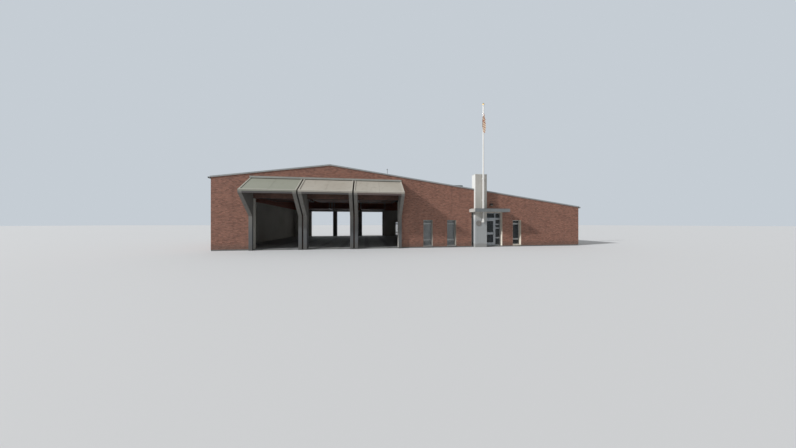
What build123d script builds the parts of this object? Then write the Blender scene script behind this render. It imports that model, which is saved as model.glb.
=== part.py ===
"""Fire station building of brick under a low, lopsided gable roof.

Three drive-through vehicle bays stand left of the middle, each under a sloped hood on two
raked fins. A tall clad pylon with a flagpole marks the entrance to the right, under a flat
canopy. Sizes are in millimetres: X runs along the front, Y from front to rear and Z up,
with the origin in the middle of the footprint at ground level.
"""
import os
from math import acos, cos, pi, radians, sin

from build123d import *

os.makedirs("parts", exist_ok=True)

# Main form of the building
building_length = 33100
building_depth = 19800
wall_thickness = 400
slab_thickness = 100

# Roof: one ridge from front to rear, left of the middle, and the same slope to both sides
ridge_x = -7440
ridge_height = 7170
roof_rise_per_run = 0.137
roof_thickness = 90
eave_overhang = 60
trim_height = 110
trim_thickness = 60
trim_upstand = 20
ridge_cap_width = 400
ridge_cap_thickness = 16

# Gutters and downpipes along the two eaves
gutter_width = 130
gutter_height = 140
gutter_wall = 6
gutter_drop = 25
downpipe_face = 80
downpipe_side = 100
downpipe_inset = 900
downpipe_shoe = 160

# Vehicle bays: three through openings with doors at front and rear
bay_count = 3
bay_pitch = 4170
bays_left = -13780
bay_gap = 120
bay_head = 4240

# Hoods: a sloped panel with a raised rim, on a fin at each side
fin_width = 270
fin_foot_depth = 200
fin_rake_foot = 2800
hood_projection = 1750
hood_top = 5880
hood_lip_top = 4700
hood_panel_thickness = 110
hood_rim_width = 100
hood_rim_height = 35
lip_beam_height = 150
lip_beam_depth = 140
flashing_height = 150
flashing_thickness = 50

# Overhead sectional doors, raised flat under the roof on curved tracks
door_lap = 50
door_thickness = 45
door_section_height = 830
door_sections = 5
door_groove = 12
door_stand = 190
track_depth = 60
track_web = 4
track_width = 48
track_bend = 330
track_bend_chords = 4
track_clearance = 6
track_base_gap = 20
hanger_size = 40
hanger_spacing = 2000

# Tall narrow windows in the brick walls
window_width = 860
window_sill = 200
window_head = 2500
window_reveal = 300
frame_depth = 100
frame_face = 50
window_low_rail = 640
window_transom = 2110
window_bar = 110
window_glass_thickness = 24
window_liner_thickness = 20
window_liner_setback = 15
sill_height = 100
sill_projection = 40
first_window_x = 1100
second_window_x = 3320
third_window_x = 9850
side_window_spacing = 6000
blind_windows = 2
blind_thickness = 12
blind_rail = 40
blind_side_gap = 10
blind_drop_gap = 30

# Entrance pylon and the glazed slot beside it
pylon_left = 5490
pylon_width = 1140
pylon_height = 6700
pylon_projection = 250
pylon_panels = 4
pylon_joint_width = 14
pylon_joint_depth = 8
slot_width = 244
disc_diameter = 520
disc_thickness = 20
disc_offset = -236
disc_height = 2200

# Entrance glazing and its swinging door
entry_right = 8335
entry_head = 3220
entry_left_jamb = 90
entry_frame_face = 60
entry_mullion = 80
entry_transom = 2560
entry_transom_height = 140
entry_low_bar = 800
entry_middle_bar = 1720
entry_high_bar = 2080
entry_bar_height = 60
slot_frame_face = 30
leaf_opening_width = 1010
leaf_gap = 5
leaf_floor_gap = 10
leaf_thickness = 45
leaf_stile = 100
leaf_top_rail = 110
leaf_bottom_rail = 250
leaf_mid_rail = 160
leaf_mid_height = 1240
leaf_glass_thickness = 12
door_stop = 15
pull_length = 450
pull_diameter = 25
pull_standoff = 50
pull_inset = 60
hinge_count = 3
hinge_length = 120
hinge_radius = 13
hinge_pin_radius = 6
hinge_pin_clearance = 0.3
hinge_plate_width = 38
hinge_plate_thickness = 3
hinge_end_inset = 220
hinge_play = 0.5

# Entrance canopy
canopy_left = 5040
canopy_right = 8380
canopy_projection = 1100
canopy_thickness = 290
canopy_fascia = 50
canopy_recess = 40

# Flagpole on the face of the pylon
pole_x = 6200
pole_standoff = 150
pole_foot = 2300
pole_top = 13100
pole_foot_radius = 80
pole_top_radius = 55
pole_hole_clearance = 20
pole_sides = 24
ball_radius = 85
ball_bands = 5
ball_cap_latitude = 80
middle_bracket_height = 4300
upper_bracket_height = 6250
bracket_height = 90
bracket_band = 12
bracket_plate_width = 220
bracket_plate_thickness = 14
bracket_arm_width = 60

# Flag hanging limp against the pole from two clips
flag_below_top = 850
flag_drop = 1900
flag_top_width = 130
flag_full_width = 400
flag_foot_width = 220
flag_full_level = 0.35
flag_thickness = 150
flag_gap = 12
clip_height = 40
clip_inset = 60
clip_spacing = 870

# Roof fittings and the wall light
roof_unit_x = 4730
roof_unit_setback = 3000
roof_unit_width = 1900
roof_unit_depth = 1500
roof_unit_top = 6080
roof_unit_lid = 60
roof_unit_lid_lap = 40
vent_x = -2460
vent_setback = 1500
vent_top = 7320
vent_radius = 45
vent_boot = 300
vent_boot_height = 70
vent_cap_radius = 70
vent_cap_height = 60
light_x = 7200
light_height = 3900
light_width = 260
light_depth = 130
light_face = 130

# Places worked out from the sizes above
half_length = building_length / 2
half_depth = building_depth / 2
inner_half_length = half_length - wall_thickness
inner_half_depth = half_depth - wall_thickness
pylon_right = pylon_left + pylon_width
pylon_front = -half_depth - pylon_projection
front_window_stations = [first_window_x, second_window_x, third_window_x]
rear_window_stations = front_window_stations
side_window_stations = [-side_window_spacing, 0, side_window_spacing]
bay_centres = [bays_left + bay_pitch * (index + 0.5) for index in range(bay_count)]
hood_width = bay_pitch - bay_gap
bay_clear = hood_width - 2 * fin_width
bays_edge_left = bay_centres[0] - bay_clear / 2
bays_edge_right = bay_centres[-1] + bay_clear / 2
front_plane = Plane.XZ.offset(half_depth)
rear_plane = Plane.XZ.offset(-half_depth)


def roof_top(x):
    """Height of the roof's upper face at a station along the front."""
    return ridge_height - roof_rise_per_run * abs(x - ridge_x)


def roof_underside(x):
    """Height of the roof's lower face, where the walls stop."""
    return roof_top(x) - roof_thickness


def wall_face(x_left, x_right, z_bottom):
    """Face of a stretch of wall, its head following the roof slopes."""
    head = [(x_right, roof_underside(x_right)), (x_left, roof_underside(x_left))]
    if x_left < ridge_x < x_right:
        head.insert(1, (ridge_x, roof_underside(ridge_x)))
    with BuildLine() as outline:
        Polyline((x_left, z_bottom), (x_right, z_bottom), *head, close=True)
    make_face(outline.edges())


def opening(left, right, bottom, top, mode=Mode.SUBTRACT):
    """Rectangle between four edges on the active sketch, cut out unless told otherwise."""
    with Locations(((left + right) / 2, (bottom + top) / 2)):
        Rectangle(right - left, top - bottom, mode=mode)


def window_openings(stations):
    """Holes for a row of windows."""
    for x in stations:
        opening(x - window_width / 2, x + window_width / 2, window_sill - sill_height, window_head)


def window_lights():
    """Bottom and top of the three panes of a window, from the sill up."""
    low_rail_top = window_low_rail + window_bar
    transom_top = window_transom + window_bar
    return [
        (window_sill + frame_face, window_low_rail),
        (low_rail_top, window_transom),
        (transom_top, window_head - frame_face),
    ]


def frame_faces(stations):
    """Window frames with a low rail and a transom."""
    half = window_width / 2
    for x in stations:
        opening(x - half, x + half, window_sill, window_head, mode=Mode.ADD)
        for bottom, top in window_lights():
            opening(x - half + frame_face, x + half - frame_face, bottom, top)


def liner_faces(stations):
    """Thin liners round the openings in front of the window frames."""
    half = window_width / 2
    inner_half = half - window_liner_thickness
    for x in stations:
        opening(x - half, x + half, window_sill, window_head, mode=Mode.ADD)
        opening(x - inner_half, x + inner_half, window_sill, window_head - window_liner_thickness)


def glass_faces(stations):
    """Panes that fill the lights of a row of windows."""
    half = window_width / 2 - frame_face
    for x in stations:
        for bottom, top in window_lights():
            opening(x - half, x + half, bottom, top, mode=Mode.ADD)


def sill_faces(stations):
    """Fronts of the sills below a row of windows."""
    half = window_width / 2
    for x in stations:
        opening(x - half, x + half, window_sill - sill_height, window_sill, mode=Mode.ADD)


# Floor slab over the whole footprint, notched round the foot of the pylon
with BuildPart() as floor_slab:
    with BuildSketch(Plane.XY):
        Rectangle(building_length, building_depth)
        opening(pylon_left, pylon_right, -half_depth, -inner_half_depth)
    extrude(amount=slab_thickness)
floor_slab.part.label = "floor_slab"
export_step(floor_slab.part, "parts/floor_slab.step")

# Front wall, split beside and over the vehicle bays and the entrance
with BuildPart() as front_wall_left:
    with BuildSketch(front_plane):
        wall_face(-half_length, bays_edge_left, slab_thickness)
    extrude(amount=-wall_thickness)
front_wall_left.part.label = "front_wall_left"
export_step(front_wall_left.part, "parts/front_wall_left.step")

with BuildPart() as front_wall_gable:
    with BuildSketch(front_plane):
        wall_face(bays_edge_left, bays_edge_right, bay_head)
    extrude(amount=-wall_thickness)
front_wall_gable.part.label = "front_wall_gable"
export_step(front_wall_gable.part, "parts/front_wall_gable.step")

with BuildPart() as front_wall_center:
    with BuildSketch(front_plane):
        wall_face(bays_edge_right, pylon_left, slab_thickness)
        window_openings(front_window_stations[:2])
        opening(pylon_left - slot_width, pylon_left, slab_thickness, entry_head)
    extrude(amount=-wall_thickness)
front_wall_center.part.label = "front_wall_center"
export_step(front_wall_center.part, "parts/front_wall_center.step")

with BuildPart() as front_wall_entry_head:
    with BuildSketch(front_plane):
        wall_face(pylon_right, entry_right, entry_head)
    extrude(amount=-wall_thickness)
front_wall_entry_head.part.label = "front_wall_entry_head"
export_step(front_wall_entry_head.part, "parts/front_wall_entry_head.step")

with BuildPart() as front_wall_right:
    with BuildSketch(front_plane):
        wall_face(entry_right, half_length, slab_thickness)
        window_openings(front_window_stations[2:])
    extrude(amount=-wall_thickness)
front_wall_right.part.label = "front_wall_right"
export_step(front_wall_right.part, "parts/front_wall_right.step")

# Side walls between the front and rear walls
with BuildPart() as left_wall:
    with BuildSketch(Plane.XZ.offset(inner_half_depth)):
        wall_face(-half_length, -inner_half_length, slab_thickness)
    extrude(amount=-2 * inner_half_depth)
left_wall.part.label = "left_wall"
export_step(left_wall.part, "parts/left_wall.step")

with BuildPart() as right_wall:
    with BuildSketch(Plane.XZ.offset(inner_half_depth)):
        wall_face(inner_half_length, half_length, slab_thickness)
    extrude(amount=-2 * inner_half_depth)
    with BuildSketch(Plane.YZ.offset(half_length)):
        for y in side_window_stations:
            opening(y - window_width / 2, y + window_width / 2,
                    window_sill - sill_height, window_head, mode=Mode.ADD)
    extrude(amount=-wall_thickness, mode=Mode.SUBTRACT)
right_wall.part.label = "right_wall"
export_step(right_wall.part, "parts/right_wall.step")

# Rear wall, with the far openings of the same bays
with BuildPart() as rear_wall_left:
    with BuildSketch(rear_plane):
        wall_face(-half_length, bays_edge_left, slab_thickness)
    extrude(amount=wall_thickness)
rear_wall_left.part.label = "rear_wall_left"
export_step(rear_wall_left.part, "parts/rear_wall_left.step")

with BuildPart() as rear_wall_gable:
    with BuildSketch(rear_plane):
        wall_face(bays_edge_left, bays_edge_right, bay_head)
    extrude(amount=wall_thickness)
rear_wall_gable.part.label = "rear_wall_gable"
export_step(rear_wall_gable.part, "parts/rear_wall_gable.step")

with BuildPart() as rear_wall_right:
    with BuildSketch(rear_plane):
        wall_face(bays_edge_right, half_length, slab_thickness)
        window_openings(rear_window_stations)
    extrude(amount=wall_thickness)
rear_wall_right.part.label = "rear_wall_right"
export_step(rear_wall_right.part, "parts/rear_wall_right.step")

# Piers between the bays, two at the front and two at the rear
with BuildPart() as bay_piers:
    with BuildSketch(Plane.XY.offset(slab_thickness)):
        for left_bay, right_bay in zip(bay_centres, bay_centres[1:]):
            for wall_y in (-half_depth, inner_half_depth):
                opening(left_bay + bay_clear / 2, right_bay - bay_clear / 2,
                        wall_y, wall_y + wall_thickness, mode=Mode.ADD)
    extrude(amount=bay_head - slab_thickness)
bay_piers.part.label = "bay_piers"
export_step(bay_piers.part, "parts/bay_piers.step")

# Roof slopes resting on the walls, the right one notched round the pylon
with BuildPart() as roof_left:
    with BuildSketch(front_plane):
        eave_x = -half_length - eave_overhang
        with BuildLine():
            Polyline((eave_x, roof_underside(eave_x)), (ridge_x, roof_underside(ridge_x)),
                     (ridge_x, roof_top(ridge_x)), (eave_x, roof_top(eave_x)), close=True)
        make_face()
    extrude(amount=-building_depth)
roof_left.part.label = "roof_left"
export_step(roof_left.part, "parts/roof_left.step")

with BuildPart() as roof_right:
    with BuildSketch(front_plane):
        eave_x = half_length + eave_overhang
        with BuildLine():
            Polyline((ridge_x, roof_underside(ridge_x)), (eave_x, roof_underside(eave_x)),
                     (eave_x, roof_top(eave_x)), (ridge_x, roof_top(ridge_x)), close=True)
        make_face()
    extrude(amount=-building_depth)
    with BuildSketch(Plane.XY):
        opening(pylon_left, pylon_right, -half_depth, -inner_half_depth, mode=Mode.ADD)
    extrude(amount=ridge_height, mode=Mode.SUBTRACT)
roof_right.part.label = "roof_right"
export_step(roof_right.part, "parts/roof_right.step")

with BuildPart() as ridge_cap:
    cap_half = ridge_cap_width / 2
    cap_fall = roof_rise_per_run * cap_half
    with BuildSketch(front_plane):
        with BuildLine():
            Polyline((ridge_x - cap_half, ridge_height - cap_fall), (ridge_x, ridge_height),
                     (ridge_x + cap_half, ridge_height - cap_fall),
                     (ridge_x + cap_half, ridge_height - cap_fall + ridge_cap_thickness),
                     (ridge_x, ridge_height + ridge_cap_thickness),
                     (ridge_x - cap_half, ridge_height - cap_fall + ridge_cap_thickness),
                     close=True)
        make_face()
    extrude(amount=-building_depth)
ridge_cap.part.label = "ridge_cap"
export_step(ridge_cap.part, "parts/ridge_cap.step")


def trim_band():
    """Metal edging that covers the roof's gable edge and stands a little above it."""
    eave_left = -half_length - eave_overhang
    eave_right = half_length + eave_overhang
    upper = [(x, roof_top(x) + trim_upstand) for x in (eave_left, ridge_x, eave_right)]
    lower = [(x, z - trim_height) for x, z in reversed(upper)]
    with BuildLine() as outline:
        Polyline(*upper, *lower, close=True)
    make_face(outline.edges())


with BuildPart() as roof_trim:
    with BuildSketch(front_plane):
        trim_band()
        opening(pylon_left, pylon_right, bay_head, ridge_height)
    extrude(amount=trim_thickness)
    with BuildSketch(rear_plane):
        trim_band()
    extrude(amount=-trim_thickness)
roof_trim.part.label = "roof_trim"
export_step(roof_trim.part, "parts/roof_trim.step")

# Gutters hung on the eaves, each with two downpipes
gutter_plane = Plane.XZ.offset(half_depth + trim_thickness)
gutter_length = building_depth + 2 * trim_thickness


def gutter_section(side):
    """U-shaped gutter outside one eave; side is -1 on the left and 1 on the right."""
    back = side * (half_length + eave_overhang)
    top = roof_top(back) - gutter_drop
    bottom = top - gutter_height
    front = back + side * gutter_width
    opening(min(back, front), max(back, front), bottom, top, mode=Mode.ADD)
    opening(min(back, front) + gutter_wall, max(back, front) - gutter_wall,
            bottom + gutter_wall, top)


def downpipe_path(side):
    """Downpipe from under the gutter, back to the wall and down to a kicked-out shoe."""
    eave = side * (half_length + eave_overhang)
    top = roof_top(eave) - gutter_drop - gutter_height
    outlet = eave + side * gutter_width / 2
    wall_line = side * (half_length + downpipe_face / 2)
    jog = abs(outlet - wall_line)
    with BuildLine() as path:
        FilletPolyline((outlet, top), (outlet, top - jog), (wall_line, top - 3 * jog),
                       (wall_line, 2 * downpipe_shoe),
                       (wall_line + side * downpipe_shoe, downpipe_shoe), radius=jog / 2)
    trace(path.edges(), line_width=downpipe_face)


with BuildPart() as gutters:
    with BuildSketch(gutter_plane):
        gutter_section(-1)
        gutter_section(1)
    extrude(amount=-gutter_length)
gutters.part.label = "gutters"
export_step(gutters.part, "parts/gutters.step")

with BuildPart() as downpipes:
    for y in (-half_depth + downpipe_inset, half_depth - downpipe_inset):
        with BuildSketch(Plane.XZ.offset(downpipe_side / 2 - y)):
            downpipe_path(-1)
            downpipe_path(1)
        extrude(amount=-downpipe_side)
downpipes.part.label = "downpipes"
export_step(downpipes.part, "parts/downpipes.step")

# Hoods over the front bays: fins, sloped panels, lip beams and the flashing above
hood_lip_y = -half_depth - hood_projection
hood_slope = (hood_top - hood_lip_top) / hood_projection
hood_plane = Plane(origin=(0, -half_depth, hood_top), x_dir=(1, 0, 0),
                   z_dir=(0, -(hood_top - hood_lip_top), hood_projection))
hood_slope_length = (hood_projection ** 2 + (hood_top - hood_lip_top) ** 2) ** 0.5

with BuildPart() as bay_fins:
    beam_bottom = hood_lip_top - hood_panel_thickness - lip_beam_height
    for centre in bay_centres:
        for left in (centre - hood_width / 2, centre + hood_width / 2 - fin_width):
            with BuildSketch(Plane.YZ.offset(left)):
                with BuildLine():
                    Polyline((-half_depth, 0), (-half_depth, hood_top - hood_panel_thickness),
                             (hood_lip_y, hood_lip_top - hood_panel_thickness),
                             (hood_lip_y, beam_bottom),
                             (-half_depth - fin_foot_depth, fin_rake_foot),
                             (-half_depth - fin_foot_depth, 0), close=True)
                make_face()
            extrude(amount=fin_width)
bay_fins.part.label = "bay_fins"
export_step(bay_fins.part, "parts/bay_fins.step")

with BuildPart() as hood_panels:
    for centre in bay_centres:
        with BuildSketch(Plane.YZ.offset(centre - hood_width / 2)):
            with BuildLine():
                Polyline((-half_depth, hood_top - hood_panel_thickness), (-half_depth, hood_top),
                         (hood_lip_y, hood_lip_top),
                         (hood_lip_y, hood_lip_top - hood_panel_thickness), close=True)
            make_face()
        extrude(amount=hood_width)
    with BuildSketch(hood_plane):
        field_length = hood_slope_length - hood_rim_width
        with Locations(*[(centre, -field_length / 2) for centre in bay_centres]):
            Rectangle(hood_width - 2 * hood_rim_width, field_length)
    extrude(amount=-hood_rim_height, mode=Mode.SUBTRACT)
hood_panels.part.label = "hood_panels"
export_step(hood_panels.part, "parts/hood_panels.step")

with BuildPart() as hood_lip_beams:
    with BuildSketch(Plane.YZ):
        beam_back = hood_lip_y + lip_beam_depth
        beam_top = hood_lip_top - hood_panel_thickness
        with BuildLine():
            Polyline((hood_lip_y, beam_top), (hood_lip_y, beam_top - lip_beam_height),
                     (beam_back, beam_top - lip_beam_height),
                     (beam_back, beam_top + hood_slope * lip_beam_depth), close=True)
        make_face()
    extrude(amount=bays_left, both=True)
    with BuildSketch(Plane.XY):
        with Locations(*[(centre, hood_lip_y) for centre in bay_centres]):
            Rectangle(bay_clear, 4 * lip_beam_depth)
    extrude(amount=ridge_height, mode=Mode.INTERSECT)
hood_lip_beams.part.label = "hood_lip_beams"
export_step(hood_lip_beams.part, "parts/hood_lip_beams.step")

with BuildPart() as hood_flashing:
    with BuildSketch(front_plane):
        opening(bay_centres[0] - hood_width / 2, bay_centres[-1] + hood_width / 2,
                hood_top, hood_top + flashing_height, mode=Mode.ADD)
    extrude(amount=flashing_thickness)
hood_flashing.part.label = "hood_flashing"
export_step(hood_flashing.part, "parts/hood_flashing.step")

# Overhead doors, shown raised, and the tracks that carry them
door_width = bay_clear + 2 * door_lap
door_length = door_section_height * door_sections
door_height = bay_head + door_stand
door_start = inner_half_depth - track_depth - track_bend
run_height = door_height - track_web + track_depth / 2


def track_band(side, width):
    """Strip along a track's line: up the wall, round the bend and in under the roof.

    The bend is a quarter circle drawn as a few chords.
    """
    wall_y = inner_half_depth - track_depth / 2
    turns = [pi / 2 * number / track_bend_chords for number in range(track_bend_chords + 1)]
    bend = [(side * (wall_y - track_bend * (1 - cos(turn))),
             run_height - track_bend * (1 - sin(turn))) for turn in turns]
    with BuildLine() as path:
        Polyline((side * wall_y, slab_thickness + track_base_gap), *bend,
                 (side * (door_start - door_length), run_height))
    trace(path.edges(), line_width=width)


with BuildPart() as bay_doors:
    with BuildSketch(Plane.XY.offset(door_height)):
        with Locations(*[(centre, side * (door_start - door_length / 2))
                         for centre in bay_centres for side in (-1, 1)]):
            Rectangle(door_width, door_length)
    extrude(amount=door_thickness)
    with BuildSketch(Plane.XY.offset(door_height)):
        with Locations(*[(centre, side * (door_start - door_section_height * number))
                         for centre in bay_centres for side in (-1, 1)
                         for number in range(1, door_sections)]):
            Rectangle(door_width, door_groove)
    extrude(amount=door_groove, mode=Mode.SUBTRACT)
bay_doors.part.label = "bay_doors"
export_step(bay_doors.part, "parts/bay_doors.step")

# A channel on each side of every door, open towards the door, with hangers to the roof
with BuildPart() as door_tracks:
    hanger_foot = run_height - track_depth / 2
    for centre in bay_centres:
        for hand in (-1, 1):
            mouth = centre + hand * (door_width / 2 - track_width / 2 + track_clearance)
            back = mouth + hand * track_width
            with BuildSketch(Plane.YZ.offset(mouth)):
                track_band(-1, track_depth)
                track_band(1, track_depth)
            extrude(amount=hand * track_width)
            with BuildSketch(Plane.YZ.offset(mouth)):
                track_band(-1, track_depth - 2 * track_web)
                track_band(1, track_depth - 2 * track_web)
            extrude(amount=hand * (track_width - track_web), mode=Mode.SUBTRACT)
            hanger_head = min(roof_underside(back), roof_underside(back + hand * hanger_size))
            with BuildSketch(Plane.YZ.offset(back)):
                for side in (-1, 1):
                    for number in range(2):
                        y = side * (door_start - door_length + hanger_size / 2
                                    + number * hanger_spacing)
                        opening(y - hanger_size / 2, y + hanger_size / 2,
                                hanger_foot, hanger_head, mode=Mode.ADD)
            extrude(amount=hand * hanger_size)
door_tracks.part.label = "door_tracks"
export_step(door_tracks.part, "parts/door_tracks.step")

# Windows: lined frames, panes and sills at the front, the rear and the right side
front_frame_plane = Plane.XZ.offset(half_depth - window_reveal)
rear_frame_plane = Plane.XZ.offset(window_reveal - half_depth)
side_frame_plane = Plane.YZ.offset(half_length - window_reveal)
glass_inset = (frame_depth - window_glass_thickness) / 2
liner_depth = window_reveal - window_liner_setback

with BuildPart() as window_frames:
    with BuildSketch(front_frame_plane):
        frame_faces(front_window_stations)
    extrude(amount=-frame_depth)
    with BuildSketch(rear_frame_plane):
        frame_faces(rear_window_stations)
    extrude(amount=frame_depth)
    with BuildSketch(side_frame_plane):
        frame_faces(side_window_stations)
    extrude(amount=-frame_depth)
    with BuildSketch(front_frame_plane):
        liner_faces(front_window_stations)
    extrude(amount=liner_depth)
    with BuildSketch(rear_frame_plane):
        liner_faces(rear_window_stations)
    extrude(amount=-liner_depth)
    with BuildSketch(side_frame_plane):
        liner_faces(side_window_stations)
    extrude(amount=liner_depth)
window_frames.part.label = "window_frames"
export_step(window_frames.part, "parts/window_frames.step")

with BuildPart() as window_glass:
    with BuildSketch(front_frame_plane.offset(-glass_inset)):
        glass_faces(front_window_stations)
    extrude(amount=-window_glass_thickness)
    with BuildSketch(rear_frame_plane.offset(glass_inset)):
        glass_faces(rear_window_stations)
    extrude(amount=window_glass_thickness)
    with BuildSketch(side_frame_plane.offset(-glass_inset)):
        glass_faces(side_window_stations)
    extrude(amount=-window_glass_thickness)
window_glass.part.label = "window_glass"
export_step(window_glass.part, "parts/window_glass.step")

with BuildPart() as window_sills:
    with BuildSketch(front_plane.offset(sill_projection)):
        sill_faces(front_window_stations)
    extrude(amount=-(wall_thickness + sill_projection))
    with BuildSketch(rear_plane.offset(-sill_projection)):
        sill_faces(rear_window_stations)
    extrude(amount=wall_thickness + sill_projection)
    with BuildSketch(Plane.YZ.offset(half_length + sill_projection)):
        sill_faces(side_window_stations)
    extrude(amount=-(wall_thickness + sill_projection))
window_sills.part.label = "window_sills"
export_step(window_sills.part, "parts/window_sills.step")

# Blinds drawn behind the two windows left of the entrance
with BuildPart() as window_blinds:
    with BuildSketch(Plane.XZ.offset(inner_half_depth)):
        for x in front_window_stations[:blind_windows]:
            half = window_width / 2 - blind_side_gap
            opening(x - half, x + half, window_head - blind_rail, window_head, mode=Mode.ADD)
    extrude(amount=-blind_rail)
    with BuildSketch(Plane.XZ.offset(inner_half_depth - (blind_rail - blind_thickness) / 2)):
        for x in front_window_stations[:blind_windows]:
            half = window_width / 2 - 2 * blind_side_gap
            opening(x - half, x + half, window_sill + blind_drop_gap,
                    window_head - blind_rail, mode=Mode.ADD)
    extrude(amount=-blind_thickness)
window_blinds.part.label = "window_blinds"
export_step(window_blinds.part, "parts/window_blinds.step")

# Entrance pylon, clad in panels with open joints, and its round plate
with BuildPart() as entry_pylon:
    with BuildSketch(Plane.XY):
        opening(pylon_left, pylon_right, pylon_front, -inner_half_depth, mode=Mode.ADD)
    extrude(amount=pylon_height)
    for number in range(1, pylon_panels):
        with BuildSketch(Plane.XY.offset(pylon_height * number / pylon_panels)):
            opening(pylon_left, pylon_right, pylon_front, -inner_half_depth, mode=Mode.ADD)
            opening(pylon_left + pylon_joint_depth, pylon_right - pylon_joint_depth,
                    pylon_front + pylon_joint_depth, -inner_half_depth - pylon_joint_depth)
        extrude(amount=-pylon_joint_width, mode=Mode.SUBTRACT)
entry_pylon.part.label = "entry_pylon"
export_step(entry_pylon.part, "parts/entry_pylon.step")

with BuildPart() as pylon_disc:
    with BuildSketch(Plane.XZ.offset(-pylon_front)):
        with Locations((pylon_left + pylon_width / 2 + disc_offset, disc_height)):
            Circle(disc_diameter / 2)
    extrude(amount=disc_thickness)
pylon_disc.part.label = "pylon_disc"
export_step(pylon_disc.part, "parts/pylon_disc.step")

# Entrance glazing: door opening, sidelight and transom lights right of the pylon, and the
# glazed slot on its left
leaf_opening_left = pylon_right + entry_left_jamb
leaf_opening_right = leaf_opening_left + leaf_opening_width
sidelight_left = leaf_opening_right + entry_mullion
sidelight_right = entry_right - entry_frame_face
slot_left = pylon_left - slot_width
entry_bar_heights = [entry_low_bar, entry_middle_bar, entry_high_bar]
light_floors = [slab_thickness + entry_frame_face]
light_floors += [z + entry_bar_height for z in entry_bar_heights]
light_floors.append(entry_transom + entry_transom_height)
light_heads = entry_bar_heights + [entry_transom, entry_head - entry_frame_face]
entry_lights = [(leaf_opening_left, leaf_opening_right, light_floors[-1], light_heads[-1])]
for left, right in ((sidelight_left, sidelight_right),
                    (slot_left + slot_frame_face, pylon_left - slot_frame_face)):
    entry_lights += [(left, right, bottom, top)
                     for bottom, top in zip(light_floors, light_heads)]

with BuildPart() as entry_frame:
    with BuildSketch(front_frame_plane):
        opening(pylon_right, entry_right, slab_thickness, entry_head, mode=Mode.ADD)
        opening(slot_left, pylon_left, slab_thickness, entry_head, mode=Mode.ADD)
        opening(leaf_opening_left + door_stop, leaf_opening_right - door_stop,
                slab_thickness, entry_transom - door_stop)
        for light in entry_lights:
            opening(*light)
    extrude(amount=-frame_depth)
    with BuildSketch(front_frame_plane):
        opening(leaf_opening_left, leaf_opening_right, slab_thickness, entry_transom,
                mode=Mode.ADD)
    extrude(amount=-(leaf_thickness + leaf_gap), mode=Mode.SUBTRACT)
entry_frame.part.label = "entry_frame"
export_step(entry_frame.part, "parts/entry_frame.step")

with BuildPart() as entry_glass:
    with BuildSketch(front_frame_plane.offset(-glass_inset)):
        for light in entry_lights:
            opening(*light, mode=Mode.ADD)
    extrude(amount=-window_glass_thickness)
entry_glass.part.label = "entry_glass"
export_step(entry_glass.part, "parts/entry_glass.step")

# Swinging entrance door, hung on the pylon side and opening outwards
leaf_left = leaf_opening_left + leaf_gap
leaf_right = leaf_opening_right - leaf_gap
leaf_bottom = slab_thickness + leaf_floor_gap
leaf_top = entry_transom - leaf_gap
mid_bottom = leaf_mid_height - leaf_mid_rail / 2
mid_top = leaf_mid_height + leaf_mid_rail / 2
leaf_lights = [
    (leaf_left + leaf_stile, leaf_right - leaf_stile, leaf_bottom + leaf_bottom_rail, mid_bottom),
    (leaf_left + leaf_stile, leaf_right - leaf_stile, mid_top, leaf_top - leaf_top_rail),
]
leaf_front_y = -half_depth + window_reveal
hinge_x = leaf_opening_left + leaf_gap / 2
hinge_y = leaf_front_y - hinge_radius
hinge_span = leaf_top - leaf_bottom - 2 * hinge_end_inset
hinge_heights = [leaf_bottom + hinge_end_inset + hinge_span * number / (hinge_count - 1)
                 for number in range(hinge_count)]
knuckle = hinge_length / 3

with BuildPart() as entry_door:
    with BuildSketch(front_frame_plane):
        opening(leaf_left, leaf_right, leaf_bottom, leaf_top, mode=Mode.ADD)
        for light in leaf_lights:
            opening(*light)
    extrude(amount=-leaf_thickness)
entry_door.part.label = "entry_door"
export_step(entry_door.part, "parts/entry_door.step")

with BuildPart() as entry_door_glass:
    with BuildSketch(front_frame_plane.offset(-(leaf_thickness - leaf_glass_thickness) / 2)):
        for light in leaf_lights:
            opening(*light, mode=Mode.ADD)
    extrude(amount=-leaf_glass_thickness)
entry_door_glass.part.label = "entry_door_glass"
export_step(entry_door_glass.part, "parts/entry_door_glass.step")

with BuildPart() as entry_door_pull:
    pull_x = leaf_right - pull_inset
    pull_y = leaf_front_y - pull_standoff
    with BuildSketch(Plane.XY.offset(leaf_mid_height - pull_length / 2)):
        with Locations((pull_x, pull_y)):
            Circle(pull_diameter / 2)
    extrude(amount=pull_length)
    with BuildSketch(front_frame_plane):
        with Locations((pull_x, leaf_mid_height - pull_length / 2 + pull_diameter),
                       (pull_x, leaf_mid_height + pull_length / 2 - pull_diameter)):
            Circle(pull_diameter / 3)
    extrude(amount=pull_standoff)
entry_door_pull.part.label = "entry_door_pull"
export_step(entry_door_pull.part, "parts/entry_door_pull.step")

with BuildPart() as entry_frame_hinges:
    for z in hinge_heights:
        for foot in (z - hinge_length / 2, z + hinge_length / 2 - knuckle):
            with BuildSketch(Plane.XY.offset(foot)):
                with Locations((hinge_x, hinge_y)):
                    Circle(hinge_radius)
                opening(hinge_x - hinge_plate_width, hinge_x,
                        leaf_front_y - hinge_plate_thickness, leaf_front_y, mode=Mode.ADD)
            extrude(amount=knuckle)
        with BuildSketch(Plane.XY.offset(z - hinge_length / 2)):
            with Locations((hinge_x, hinge_y)):
                Circle(hinge_pin_radius)
        extrude(amount=hinge_length)
entry_frame_hinges.part.label = "entry_frame_hinges"
export_step(entry_frame_hinges.part, "parts/entry_frame_hinges.step")

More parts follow.
